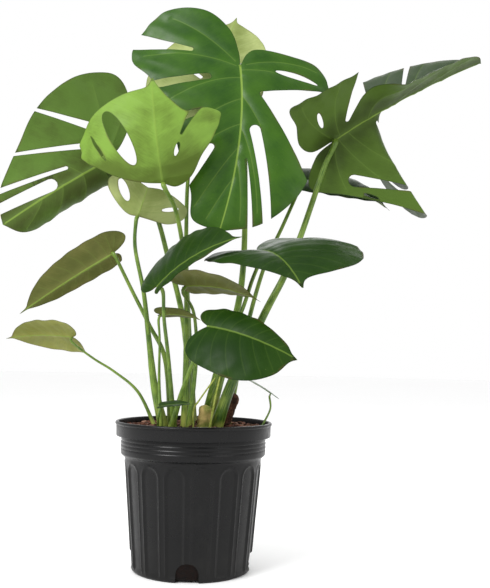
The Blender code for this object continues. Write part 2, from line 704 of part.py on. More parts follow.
# ---------------------------------------------------------------- pot and soil
def pot_inner_profile():
    """The pot's inner face as (radius, height), from the middle of the floor up to the rim."""
    ledge = POT_HEIGHT - LIP_HEIGHT
    shoulder = ledge - BAND_HEIGHT
    return [
        (0.0, POT_FLOOR),
        (POT_BASE_RADIUS - POT_WALL - FOOT_ROUNDING / 2, POT_FLOOR),
        (POT_BASE_RADIUS - POT_WALL, POT_FLOOR + FOOT_ROUNDING / 2),
        (POT_BODY_TOP_RADIUS - POT_WALL, shoulder - SHOULDER_HEIGHT),
        (BAND_RADIUS - POT_WALL, shoulder),
        (BAND_RADIUS - POT_WALL, ledge + POT_WALL),
        (POT_RIM_RADIUS - LIP_ROLL - POT_WALL, ledge + POT_WALL),
        (POT_RIM_RADIUS - LIP_ROLL, POT_HEIGHT),
    ]


def pot_outer_profile():
    """The pot's outer face as (radius, height), from the rim down to the middle of the base."""
    ledge = POT_HEIGHT - LIP_HEIGHT
    shoulder = ledge - BAND_HEIGHT
    body_top = shoulder - SHOULDER_HEIGHT
    body = body_top - FOOT_ROUNDING
    flute_top = 1.0 - FLUTE_TOP_GAP / body
    levels = [flute_top, flute_top - FLUTE_SHOULDER / body, 0.0]
    wall = [
        (POT_BASE_RADIUS + (POT_BODY_TOP_RADIUS - POT_BASE_RADIUS) * t, FOOT_ROUNDING + body * t)
        for t in levels
    ]
    return [
        (POT_RIM_RADIUS, POT_HEIGHT),
        (POT_RIM_RADIUS, POT_HEIGHT - LIP_ROLL),
        (POT_RIM_RADIUS - LIP_ROLL * 0.8, POT_HEIGHT - 1.6 * LIP_ROLL),
        (POT_RIM_RADIUS - LIP_ROLL, ledge),
        (BAND_RADIUS, ledge),
        (BAND_RADIUS, shoulder),
        (POT_BODY_TOP_RADIUS, body_top),
        *wall,
        (POT_BASE_RADIUS - FOOT_ROUNDING * 0.3, FOOT_ROUNDING * 0.3),
        (POT_BASE_RADIUS - FOOT_ROUNDING, 0.0),
        (0.0, 0.0),
    ]


def flute_depth(angle, height):
    """How deep the fluting is at a bearing and a height on the pot's body."""
    body_top = POT_HEIGHT - LIP_HEIGHT - BAND_HEIGHT - SHOULDER_HEIGHT
    pitch = 2 * math.pi / FLUTES
    off_centre = abs((angle % pitch) - pitch / 2) * POT_BODY_TOP_RADIUS
    half = FLUTE_WIDTH / 2
    if off_centre >= half or height < FOOT_ROUNDING * 0.9:
        return 0.0
    arch_top = body_top - FLUTE_TOP_GAP - half + math.sqrt(half ** 2 - off_centre ** 2)
    if height > arch_top:
        return 0.0
    return FLUTE_DEPTH


def pot_bearings():
    """The bearings of the wall's facets: both edges of every flute, inside and out."""
    pitch = 2 * math.pi / FLUTES
    edge = FLUTE_WIDTH / 2 / POT_BODY_TOP_RADIUS
    inside = edge - FLUTE_EDGE / POT_BODY_TOP_RADIUS
    offsets = (-edge, -inside, 0.0, inside, edge)
    return [(k + 0.5) * pitch + off for k in range(FLUTES) for off in offsets]


def build_pot():
    """The fluted pot: a turned wall and floor with arched drainage holes round the foot."""
    bearings = pot_bearings()
    profile = pot_outer_profile()[:-1][::-1] + pot_inner_profile()[1:][::-1]
    outer_count = len(pot_outer_profile()) - 1
    points = []
    for level, (radius, height) in enumerate(profile):
        for bearing in bearings:
            depth = flute_depth(bearing, height) if level < outer_count else 0.0
            points.append((
                (radius - depth) * math.cos(bearing), (radius - depth) * math.sin(bearing), height,
            ))
    count = len(bearings)
    faces = [list(range(count))[::-1], list(range(len(points) - count, len(points)))]
    for level in range(len(profile) - 1):
        low = level * count
        for k in range(count):
            following = (k + 1) % count
            faces.append([low + k, low + following, low + count + following, low + count + k])
    mesh = bpy.data.meshes.new("pot")
    mesh.from_pydata(points, [], faces)
    pot = add_object("pot", mesh, material("pot", POT_BLACK, 0.38))
    cut = pot.modifiers.new("drainage", "BOOLEAN")
    cut.operation = "DIFFERENCE"
    cut.solver = "EXACT"
    cut.object = drain_cutter()
    return pot


def drain_cutter():
    """Arched blocks through the foot of the wall, one for each drainage hole."""
    points, faces = [], []
    half = DRAIN_WIDTH / 2
    straight = DRAIN_HEIGHT - half
    section = [(-half, -DRAIN_OVERRUN), (half, -DRAIN_OVERRUN)]
    section += [
        (half * math.cos(math.pi * k / ARCH_STEPS), straight + half * math.sin(math.pi * k / ARCH_STEPS))
        for k in range(ARCH_STEPS + 1)
    ]
    inner = POT_BASE_RADIUS - POT_WALL - DRAIN_REACH
    outer = POT_BASE_RADIUS + DRAIN_OVERRUN
    for hole in range(DRAIN_HOLES):
        turn = Matrix.Rotation(2 * math.pi * hole / DRAIN_HOLES, 3, "Z")
        first = len(points)
        for depth in (inner, outer):
            points += [turn @ Vector((x, -depth, z)) for x, z in section]
        size = len(section)
        faces.append([first + k for k in range(size)][::-1])
        faces.append([first + size + k for k in range(size)])
        for k in range(size):
            following = (k + 1) % size
            faces.append([first + k, first + following, first + size + following, first + size + k])
    mesh = bpy.data.meshes.new("drain_cutter")
    mesh.from_pydata(points, [], faces)
    cutter = bpy.data.objects.new("drain_cutter", mesh)
    cutter.hide_render = True
    cutter.display_type = "WIRE"
    bpy.context.scene.collection.objects.link(cutter)
    return cutter


def build_soil():
    """The root ball: it fills the pot to the headspace and keeps a gap to the wall."""
    profile = [(radius - GAP, height) for radius, height in pot_inner_profile()[1:-1]]
    profile[0] = (profile[0][0], POT_FLOOR + GAP)
    ledge_radius = profile[-1][0]
    profile[-1] = (ledge_radius, profile[-1][1] + GAP)
    profile[-2] = (profile[-2][0], profile[-2][1] + GAP)
    profile.append((ledge_radius, SOIL_TOP))
    rings = []
    for radius, height in profile:
        rings.append([(radius * math.cos(t), radius * math.sin(t), height) for t in pot_bearings()])
    return add_object("soil", tube_mesh("soil", rings), material("soil", SOIL_BROWN, 0.9))


def clear_scene():
    """Remove whatever objects the scene holds."""
    for thing in list(bpy.data.objects):
        bpy.data.objects.remove(thing)


def build_plant():
    """Every blade with its stalk, then the stems and roots."""
    for sizes in BLADES:
        blade = Blade(sizes)
        build_blade(blade)
        build_stalk(blade, STALKS[blade.name.replace("blade_", "")])
    for name, sizes in STEMS.items():
        build_rod(name, sizes, BARK_BROWN)
    for name, sizes in ROOTS.items():
        build_rod(name, sizes, PALE_STALK)


clear_scene()
build_pot()
build_soil()
build_plant()
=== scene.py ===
"""The potted monstera: veined two-sided blades, channelled stalks, a fluted pot and bark chips."""
import json
import math
import random

import bpy
import numpy as np
from mathutils import Matrix, Vector, noise
from mathutils.geometry import delaunay_2d_cdt


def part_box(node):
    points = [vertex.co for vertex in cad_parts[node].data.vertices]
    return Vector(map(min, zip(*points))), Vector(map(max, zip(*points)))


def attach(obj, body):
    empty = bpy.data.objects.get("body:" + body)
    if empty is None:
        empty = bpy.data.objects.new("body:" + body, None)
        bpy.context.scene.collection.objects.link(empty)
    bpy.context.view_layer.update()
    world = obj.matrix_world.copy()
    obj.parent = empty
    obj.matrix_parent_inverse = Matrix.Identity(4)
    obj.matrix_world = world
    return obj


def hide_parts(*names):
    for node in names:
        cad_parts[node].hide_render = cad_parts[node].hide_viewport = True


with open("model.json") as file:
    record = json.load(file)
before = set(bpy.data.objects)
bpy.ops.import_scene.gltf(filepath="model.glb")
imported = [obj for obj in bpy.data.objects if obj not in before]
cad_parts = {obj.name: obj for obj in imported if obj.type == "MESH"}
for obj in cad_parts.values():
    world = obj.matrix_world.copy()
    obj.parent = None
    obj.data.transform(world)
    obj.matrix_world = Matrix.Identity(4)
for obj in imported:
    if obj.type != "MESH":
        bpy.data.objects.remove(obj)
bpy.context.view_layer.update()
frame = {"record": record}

# ---------------------------------------------------------------- places read from the frame
POT_LOW, POT_HIGH = [Vector(corner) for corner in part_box("pot")]
SOIL_LOW, SOIL_HIGH = [Vector(corner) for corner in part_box("soil")]
SOIL_TOP = SOIL_HIGH.z
POT_HEIGHT = POT_HIGH.z
RIM_RADIUS = (POT_HIGH.x - POT_LOW.x) / 2

# ---------------------------------------------------------------- leaves and stalks (metres)
BLADE_THICKNESS = 0.0009
CAD_BLADE_THICKNESS = 0.0010
JOINT_GAP = 0.0005
GRID_STEP = 0.0050
RIM_STEP = 0.0032
VEIN_STEP = 0.0035
VEIN_SIDE_ROW = 0.0014
MIDRIB_HEIGHT = 0.0016
MIDRIB_WIDTH = 0.0022
MIDRIB_CHANNEL = 0.0007
VEIN_HEIGHT = 0.0006
VEIN_GROOVE = 0.0005
VEIN_WIDTH = 0.0013
QUILT_HEIGHT = 0.0012
QUILT_WIDTH = 0.0070
MARGIN_WAVE = 0.0022
WAVES_PER_METRE = 34.0
WAVE_SLANT = 0.4
WAVE_SHARE = 0.45
SWELL_RISE = 1.1
SWELL_SCALE = 28.0
WHOLE_RELIEF_LENGTH = 0.16
LEAST_RELIEF = 0.25
RELIEF_OF_VEINS = 2.0
FLAT_AT_JOINT = 0.020
FLAT_AT_MARGIN = 0.012
EDGE_WIDTH = 0.0015
EDGE_SHARE = 0.35
RIB_SHARE = 0.97
RIB_LINE = 0.0011
RIM_CLEARANCE = 0.4
GRID_RIM_CLEARANCE = 0.7
GRID_VEIN_CLEARANCE = 2.2
VEIN_BEND = 0.28
VEIN_RIM_GAP = 0.0030
STALK_SIDES = 20
STALK_STEP = 0.0030
STALK_SINK = 0.004
SHEATH_TAPER = 3.2
RUN_IN_SLANT = 0.35
# Runs up a stalk are shares of its length and spans are angles about it. The sheath closes
# between two runs. A slot or groove is (depth, span), and a wing is (rise, bearing, span).
SHEATH_CLOSING = (0.30, 0.62)
SHEATH_SLOT = (0.42, 0.42)
SHEATH_WING = (0.16, 0.80, 0.22)
SHAFT_GROOVE = (0.10, 0.35)
JOINT_END_SHARE = 0.62
JOINT_END_LENGTH = 0.003
JOINT_END_GAP = 0.0006
SWELL_SHARE = 0.16
SWELL_FROM_END = 0.010
SWELL_WIDTH = 0.008
NODE_SHARE = 0.05
NODE_AT = 0.30
NODE_WIDTH = 0.006
ROD_STEP = 0.002
ROD_ROUND = 0.86

# ---------------------------------------------------------------- pot, soil and chips (metres)
POT_WALL = 0.0024
POT_FLOOR = 0.0025
LIP_HEIGHT = 0.0220
LIP_ROLL = 0.0028
BAND_HEIGHT = 0.0260
BAND_INSET = 0.0095
BODY_INSET = 0.0155
BASE_INSET = 0.0295
BAND_RADIUS = RIM_RADIUS - BAND_INSET
BODY_TOP_RADIUS = RIM_RADIUS - BODY_INSET
BASE_RADIUS = RIM_RADIUS - BASE_INSET
INNER_RIM_RADIUS = RIM_RADIUS - LIP_ROLL - POT_WALL
SHOULDER_HEIGHT = 0.0070
FOOT_ROUNDING = 0.0045
FLUTES = 16
FLUTE_DEPTH = 0.0019
FLUTE_WIDTH = 0.029
FLUTE_TOP_GAP = 0.006
FLUTE_EDGE = 0.0030
FLUTE_BORDER = 0.0008
FLUTE_BORDER_SET = 0.0013
FLUTE_BORDER_WIDTH = 0.0012
COLUMNS_PER_FLUTE = 26
BODY_LEVELS = 70
DRAIN_HOLES = 4
DRAIN_WIDTH = 0.033
DRAIN_HEIGHT = 0.028
DRAIN_REACH = 0.012
DRAIN_OVERRUN = 0.02
ARCH_STEPS = 20
BAND_GROOVES = (0.30, 0.52, 0.74)
BAND_GROOVE_DEPTH = 0.0009
BAND_GROOVE_WIDTH = 0.0010
BAND_BULGE = 0.0005
SOIL_GAP = 0.0006
SOIL_GRAIN = 0.0022
SOIL_COLUMNS = 160
SOIL_RINGS = 56
SOIL_MOUND = 0.0035
SOIL_MOUND_RADIUS = 0.055
SOIL_SETTLING = 0.0010
CHIPS = 620
CHIP_CORNERS = 7
CHIP_WALL_GAP = 0.006
# A chip's section rings: how far along its length each is, and its share of the width.
CHIP_RINGS = ((-0.5, 0.45), (-0.34, 0.88), (0.05, 1.0), (0.36, 0.85), (0.5, 0.40))

# ---------------------------------------------------------------- leaf colours (linear red, green, blue)
# Each look is (upper dark, upper light, lower dark, lower light, upper roughness, vein strength,
# midrib strength). Under a leaf the dark shows near the midrib and the light toward the margin,
# but the young leaf is dark near its stalk, which is painted shade, and light elsewhere.
LOOKS = {
    "mid": (
        (0.010, 0.046, 0.001), (0.030, 0.088, 0.003), (0.046, 0.110, 0.010), (0.090, 0.170, 0.025),
        0.36, 0.38, 0.80,
    ),
    "taco": (
        (0.008, 0.020, 0.006), (0.018, 0.036, 0.010), (0.040, 0.058, 0.008), (0.074, 0.140, 0.020),
        0.42, 0.30, 0.65,
    ),
    "folded": (
        (0.012, 0.030, 0.007), (0.026, 0.050, 0.012), (0.030, 0.054, 0.005), (0.056, 0.104, 0.011),
        0.42, 0.28, 0.70,
    ),
    # The young look's lower light is partly the leaf's own lime tone and partly painted light shining
    # through the leaf.
    "young": (
        (0.056, 0.120, 0.010), (0.090, 0.165, 0.018), (0.070, 0.112, 0.012), (0.150, 0.262, 0.036),
        0.38, 0.14, 0.40,
    ),
    # The pale look's lower light is partly the leaf's own pale tone and partly painted light shining
    # through the leaf.
    "pale": (
        (0.060, 0.110, 0.016), (0.105, 0.160, 0.030), (0.150, 0.190, 0.046), (0.300, 0.350, 0.130),
        0.42, 0.20, 0.50,
    ),
    "dark": (
        (0.006, 0.024, 0.001), (0.014, 0.040, 0.003), (0.040, 0.058, 0.008), (0.070, 0.090, 0.014),
        0.42, 0.07, 0.40,
    ),
    "olive": (
        (0.010, 0.028, 0.003), (0.042, 0.070, 0.008), (0.068, 0.078, 0.014), (0.130, 0.132, 0.034),
        0.45, 0.16, 0.55,
    ),
    "straw": (
        (0.050, 0.075, 0.012), (0.085, 0.110, 0.020), (0.130, 0.140, 0.024), (0.220, 0.230, 0.052),
        0.48, 0.20, 0.60,
    ),
}
VEIN_COLOUR = (0.115, 0.190, 0.030)
MIDRIB_COLOUR = (0.175, 0.270, 0.040)
MARGIN_BROWN = (0.090, 0.050, 0.020)
STALK_DARK = (0.018, 0.062, 0.003)
STALK_LIGHT = (0.170, 0.260, 0.034)
SHEATH_PALE = (0.420, 0.480, 0.160)
FOOT_YELLOW = (0.360, 0.390, 0.080)
# Barks: name, dark, light, how many marks to a metre and how strongly they are cracked.
STEM_LOOKS = {
    "stem_right": ("old_stem", (0.030, 0.014, 0.008), (0.150, 0.068, 0.040), 70.0, 0.7),
    "stem_stub": ("cut_stub", (0.120, 0.170, 0.024), (0.450, 0.340, 0.130), 42.0, 0.12),
}
ROOT_LOOK = ("root_skin", (0.200, 0.250, 0.035), (0.400, 0.440, 0.110), 220.0, 0.1)
MIX_LOOK = ("potting_mix", (0.030, 0.012, 0.008), (0.120, 0.045, 0.028), 130.0, 0.7)

# ---------------------------------------------------------------- floor, light and camera
FLOOR_RADIUS = 14.0
FLOOR_CORNERS = 64
WORLD_STRENGTH = 1.0
LAMPS = {
    "key": dict(place=(-1.5, -1.7, 2.1), aim=(0.0, 0.0, 0.5), size=1.2, power=70.0),
    "fill": dict(place=(1.9, -1.4, 1.2), aim=(0.0, 0.0, 0.4), size=1.4, power=10.0),
    "back": dict(place=(0.4, 1.9, 1.7), aim=(0.0, 0.0, 0.5), size=1.6, power=14.0),
}
CAMERA_PLACE = Vector((0.0746, -1.30, 0.321))
CAMERA_PITCH = math.radians(4.33)
CAMERA_ROLL = math.radians(1.1)
CAMERA_LENS = 51.24
CAMERA_SENSOR = 36.0

# A whole blade's right edge from the stalk round to the tip: (side, along). Side is in half
# widths; along is in basal lobes where it is negative and in blade lengths where it is positive.
HEART = (
    (0.00, 0.00), (0.07, -0.45), (0.22, -0.85), (0.45, -1.00), (0.74, -0.76),
    (0.94, -0.20), (1.00, 0.16), (0.95, 0.40), (0.79, 0.62), (0.52, 0.79), (0.21, 0.90), (0.06, 0.945),
    (0.00, 1.03),
)

# Side veins of a whole half: where each starts on the midrib, in blade lengths, and its slope
# from the tip's direction in degrees.
DEFAULT_VEINS = (
    (0.0, 150.0), (0.0, 122.0), (0.01, 98.0), (0.05, 82.0), (0.15, 71.0), (0.27, 63.0), (0.40, 56.0),
    (0.53, 50.0), (0.66, 44.0), (0.79, 38.0),
)

# ---------------------------------------------------------------- the blades
# Each blade has its stalk joint (base), its tip and the way its upper side faces. The arch is how
# far the midrib turns between the two. Pairs are (right, left) as seen on the upper side with
# the tip away: fold is how far a half rises from the midrib, and curl how far it turns down
# again towards its margin, in degrees. Outlines, cuts and holes are in blade lengths, as
# (side, along) from the stalk joint. A cut is (side sign, inner end, outer end, inner width,
# outer width) and a hole (side sign, one end, other end, width), with widths in blade lengths.
BLADES = (
    dict(
        name="blade_centre", base=(0.060, 0.000, 0.570), tip=(0.034, -0.050, 0.296),
        face=(0.0, -1.0, 0.15), arch=24, back=-60, fold=(6, 6), curl=(20, 30), sway=-0.05,
        right=(
            (0.0, 0.0), (0.02, -0.10), (0.09, -0.24), (0.25, -0.34), (0.48, -0.31), (0.62, -0.12),
            (0.62, 0.02), (0.52, 0.13), (0.45, 0.26), (0.38, 0.40), (0.32, 0.58), (0.21, 0.80),
            (0.16, 0.95), (0.0, 1.0),
        ),
        left=(
            (0.0, 0.0), (0.03, -0.09), (0.10, -0.125), (0.29, -0.11), (0.44, -0.09), (0.52, 0.01),
            (0.52, 0.15), (0.50, 0.36), (0.42, 0.60), (0.35, 0.78), (0.20, 0.94), (0.0, 1.0),
        ),
        cuts=(
            (1, (0.29, -0.08), (0.68, -0.13), 0.025, 0.11),
            (1, (0.19, 0.10), (0.60, 0.20), 0.04, 0.06),
            (1, (0.22, 0.33), (0.50, 0.44), 0.03, 0.09),
            (1, (0.15, 0.54), (0.34, 0.90), 0.04, 0.11),
            (-1, (0.12, 0.18), (0.77, 0.44), 0.04, 1.06),
            (-1, (0.08, 0.41), (0.27, 1.04), 0.06, 0.04),
            (-1, (0.05, 0.59), (0.18, 1.06), 0.012, 0.03),
        ),
        holes=((-1, (0.20, 0.01), (0.45, 0.03), 0.04),),
        veins=(
            (1, 0.0, (0.42, -0.27)), (1, 0.01, (0.56, -0.02)), (1, 0.08, (0.40, 0.27)),
            (1, 0.22, (0.33, 0.50)),
            (1, 0.38, (0.28, 0.62)), (1, 0.52, (0.17, 0.88)), (-1, 0.0, (0.44, -0.05)),
            (-1, 0.03, (0.48, 0.09)),
            (-1, 0.20, (0.29, 0.80)), (-1, 0.40, (0.17, 0.88)), (-1, 0.60, (0.09, 0.93)),
            (1, 0.70, (0.09, 0.94)),
        ),
        look="mid", stalk=0.0036,
    ),
    dict(
        name="blade_left", base=(-0.150, -0.020, 0.404), tip=(-0.292, -0.050, 0.300),
        face=(0.1, 1.0, -0.05), arch=-15, fold=(10, -6), curl=(-150, 25),
        right=(
            (0.0, 0.0), (0.15, -0.20), (0.36, -0.05), (0.40, 0.30), (0.34, 0.60), (0.18, 0.88),
            (0.0, 1.0),
        ),
        left=(
            (0.0, 0.0), (0.06, -0.22), (0.24, -0.44), (0.48, -0.54), (0.66, -0.48), (0.76, -0.20),
            (0.73, 0.08), (0.64, 0.30), (0.50, 0.50), (0.38, 0.68), (0.25, 0.86), (0.10, 0.96),
            (0.0, 1.0),
        ),
        cuts=(
            (-1, (0.32, -0.10), (0.76, 0.34), 0.07, 0.015),
            (-1, (0.22, 0.08), (0.53, 0.80), 0.05, 0.015),
            (-1, (0.12, 0.29), (0.29, 1.04), 0.03, 0.05),
            (-1, (0.06, 0.48), (0.14, 1.06), 0.11, 0.08),
        ),
        veins=(
            (-1, 0.0, (0.36, -0.44)), (-1, 0.01, (0.64, -0.28)), (-1, 0.05, (0.66, 0.20)),
            (-1, 0.20, (0.44, 0.56)),
            (-1, 0.38, (0.22, 0.90)), (-1, 0.60, (0.08, 0.95)), (1, 0.05, (0.30, 0.02)),
            (1, 0.20, (0.34, 0.38)),
            (1, 0.40, (0.26, 0.66)), (1, 0.60, (0.14, 0.86)),
        ),
        look="taco", stalk=0.0032,
    ),
    dict(
        name="blade_curled", base=(-0.049, -0.090, 0.360), tip=(-0.070, -0.080, 0.517),
        face=(0.0, 1.0, 0.1), arch=-75, fold=(-15, 15), curl=(-75, -20),
        right=(
            (0.0, 0.0), (0.15, 0.03), (0.34, 0.08), (0.58, 0.18), (0.80, 0.30), (0.81, 0.46),
            (0.74, 0.60), (0.54, 0.74), (0.26, 0.83), (0.06, 0.89), (0.0, 1.04),
        ),
        left=(
            (0.0, 0.0), (0.12, -0.06), (0.26, 0.0), (0.38, 0.18), (0.54, 0.42), (0.62, 0.70),
            (0.50, 0.76), (0.30, 0.66), (0.16, 0.76), (0.05, 0.92), (0.0, 1.06),
        ),
        cuts=((-1, (0.22, 0.42), (0.46, 0.86), 0.02, 0.10),),
        holes=(
            (1, (0.21, 0.19), (0.44, 0.70), 0.16),
            (1, (0.47, 0.25), (0.62, 0.52), 0.03),
            (-1, (0.14, 0.22), (0.19, 0.34), 0.04),
        ),
        look="young", stalk=0.0030,
    ),
    dict(
        name="blade_small_split", base=(-0.089, -0.050, 0.317), tip=(-0.068, -0.068, 0.374),
        face=(0.0, 0.9, 0.4), arch=-30, fold=(12, 12), curl=(-35, -30),
        right=(
            (0.0, 0.0), (0.22, -0.06), (0.44, -0.02), (0.80, 0.14), (1.08, 0.36), (1.10, 0.60),
            (0.92, 0.78), (0.62, 0.86), (0.33, 0.82), (0.0, 0.74),
        ),
        left=(
            (0.0, 0.0), (0.28, -0.02), (0.76, -0.08), (1.06, 0.02), (1.20, 0.26), (1.16, 0.50),
            (0.90, 0.66), (0.60, 0.76), (0.32, 0.80), (0.0, 0.74),
        ),
        holes=((1, (0.35, 0.25), (0.78, 0.70), 0.26), (-1, (0.50, 0.30), (0.92, 0.44), 0.12)),
        look="pale", stalk=0.0024,
    ),
    dict(
        name="blade_right", base=(0.212, 0.030, 0.459), tip=(0.460, 0.060, 0.604),
        face=(-0.42, 0.05, 0.9), arch=12, fold=(38, -82), fold_tip=(5, 46), turn_at=(0.22, 0.42),
        curl=(20, 10),
        right=(
            (0.0, 0.0), (0.022, -0.14), (0.12, -0.20), (0.26, -0.19), (0.42, -0.20), (0.38, 0.02),
            (0.36, 0.22), (0.34, 0.42), (0.30, 0.62), (0.24, 0.80), (0.12, 0.94), (0.0, 1.0),
        ),
        left=(
            (0.0, 0.0), (0.022, -0.14), (0.14, -0.27), (0.29, -0.12), (0.46, 0.06), (0.66, 0.27),
            (0.56, 0.34), (0.42, 0.42), (0.38, 0.55), (0.30, 0.74), (0.16, 0.92), (0.0, 1.0),
        ),
        cuts=(
            (1, (0.08, 0.12), (0.44, 0.36), 0.03, 0.20),
            (-1, (0.25, -0.03), (0.56, 0.36), 0.07, 0.01),
            (-1, (0.05, 0.29), (0.60, 0.43), 0.02, 0.20),
            (-1, (0.12, 0.56), (0.40, 0.76), 0.02, 0.04),
        ),
        holes=((1, (0.13, -0.04), (0.25, -0.05), 0.03), (-1, (0.34, -0.03), (0.41, 0.03), 0.02)),
        veins=(
            (1, 0.01, (0.38, -0.14)), (1, 0.05, (0.35, 0.10)), (1, 0.24, (0.31, 0.52)),
            (1, 0.42, (0.26, 0.70)),
            (1, 0.60, (0.16, 0.86)), (-1, 0.01, (0.26, -0.10)), (-1, 0.03, (0.60, 0.27)),
            (-1, 0.10, (0.42, 0.34)),
            (-1, 0.38, (0.34, 0.60)), (-1, 0.56, (0.26, 0.78)), (-1, 0.74, (0.12, 0.92)),
        ),
        look="folded", stalk=0.0038,
    ),
    dict(
        name="blade_right_rear", base=(0.170, 0.110, 0.412), tip=(0.320, 0.140, 0.370),
        face=(-0.1, -0.5, 0.85), arch=35, fold=(25, 25), curl=(50, 50),
        half=(0.42, 0.42), lobe=(0.22, 0.22),
        look="dark", stalk=0.0028,
    ),
    dict(
        name="blade_rear", base=(0.013, 0.070, 0.544), tip=(0.049, 0.170, 0.716),
        face=(0.1, 0.8, -0.4), arch=-20, fold=(12, 12), curl=(20, 20),
        half=(0.60, 0.42), lobe=(0.26, 0.26),
        cuts=(
            (1, (0.14, 0.20), (0.50, 0.50), 0.03, 0.06),
            (-1, (0.14, 0.24), (0.50, 0.54), 0.03, 0.06),
            (1, (0.10, 0.48), (0.40, 0.80), 0.03, 0.05),
        ),
        look="pale", stalk=0.0028,
    ),
    dict(
        name="blade_right_middle", base=(0.094, -0.114, 0.260), tip=(0.146, -0.228, 0.202),
        face=(0.0, -0.30, 1.0), arch=45, back=-30, fold=(8, 24), curl=(30, 42),
        right=(
            (0.0, 0.0), (0.06, -0.16), (0.19, -0.26), (0.36, -0.27), (0.52, -0.17), (0.61, 0.03),
            (0.59, 0.28), (0.49, 0.50), (0.35, 0.68), (0.17, 0.84), (0.05, 0.93), (0.0, 1.03),
        ),
        left=(
            (0.0, 0.0), (0.07, -0.22), (0.22, -0.38), (0.42, -0.43), (0.63, -0.36), (0.80, -0.14),
            (0.87, 0.14), (0.88, 0.46), (0.80, 0.72), (0.60, 0.88), (0.33, 0.94), (0.08, 0.95),
            (0.0, 1.06),
        ),
        look="dark", stalk=0.0026,
    ),
    dict(
        name="blade_left_middle", base=(-0.049, -0.130, 0.205), tip=(0.066, -0.170, 0.271),
        face=(-0.25, -0.75, 0.7), arch=40, back=-20, fold=(10, 6), curl=(12, 35),
        half=(0.12, 0.57), lobe=(0.04, 0.26),
        look="dark", stalk=0.0024,
    ),
    dict(
        name="blade_right_low", base=(0.025, -0.170, 0.149), tip=(0.141, -0.210, 0.108),
        face=(0.0, -0.85, 0.5), arch=40, fold=(10, 14), curl=(30, 40),
        right=(
            (0.0, 0.0), (0.10, -0.08), (0.22, -0.12), (0.35, -0.08), (0.44, 0.05), (0.49, 0.28),
            (0.50, 0.52), (0.43, 0.73), (0.27, 0.90), (0.08, 0.97), (0.0, 1.03),
        ),
        left=(
            (0.0, 0.0), (0.05, -0.10), (0.13, -0.17), (0.22, -0.15), (0.27, 0.01), (0.27, 0.24),
            (0.23, 0.51), (0.16, 0.70), (0.09, 0.87), (0.03, 0.95), (0.0, 1.03),
        ),
        look="dark", stalk=0.0024,
    ),
    dict(
        name="blade_left_hanging", base=(-0.126, -0.050, 0.259), tip=(-0.253, -0.070, 0.168),
        face=(-0.2, 0.9, 0.35), arch=25, fold=(35, 10), curl=(20, 25),
        half=(0.15, 0.24), lobe=(0.06, 0.20),
        look="olive", stalk=0.0024,
    ),
    dict(
        name="blade_left_low", base=(-0.187, -0.020, 0.134), tip=(-0.294, 0.010, 0.131),
        face=(0.0, 0.55, 0.85), arch=20, fold=(12, 12), curl=(20, 20),
        half=(0.44, 0.36), lobe=(0.03, 0.10),
        look="straw", stalk=0.0016,
    ),
    dict(
        name="blade_inner", base=(-0.012, -0.078, 0.211), tip=(0.094, -0.125, 0.188),
        face=(0.05, 0.30, 0.95), arch=30, fold=(16, 16), curl=(25, 25),
        half=(0.42, 0.32), lobe=(0.16, 0.10),
        look="olive", stalk=0.0022,
    ),
    dict(
        name="blade_inner_small", base=(-0.047, -0.086, 0.168), tip=(0.012, -0.104, 0.160),
        face=(0.2, 0.3, 0.95), arch=25, fold=(20, 20), curl=(20, 20),
        half=(0.30, 0.30), lobe=(0.12, 0.12),
        look="olive", stalk=0.0016,
    ),
    dict(
        name="blade_seedling_right", base=(0.116, -0.034, 0.055), tip=(0.070, -0.050, 0.080),
        face=(0.3, -0.12, 1.0), arch=10, fold=(8, 8), curl=(10, 10),
        half=(0.24, 0.24), lobe=(0.26, 0.26),
        look="mid", stalk=0.0013,
    ),
    dict(
        name="blade_seedling_front", base=(-0.042, -0.107, 0.037), tip=(0.003, -0.113, 0.041),
        face=(0.0, -0.3, 1.0), arch=10, fold=(12, 12), curl=(10, 10),
        half=(0.30, 0.30), lobe=(0.08, 0.08),
        look="dark", stalk=0.0013,
    ),
)
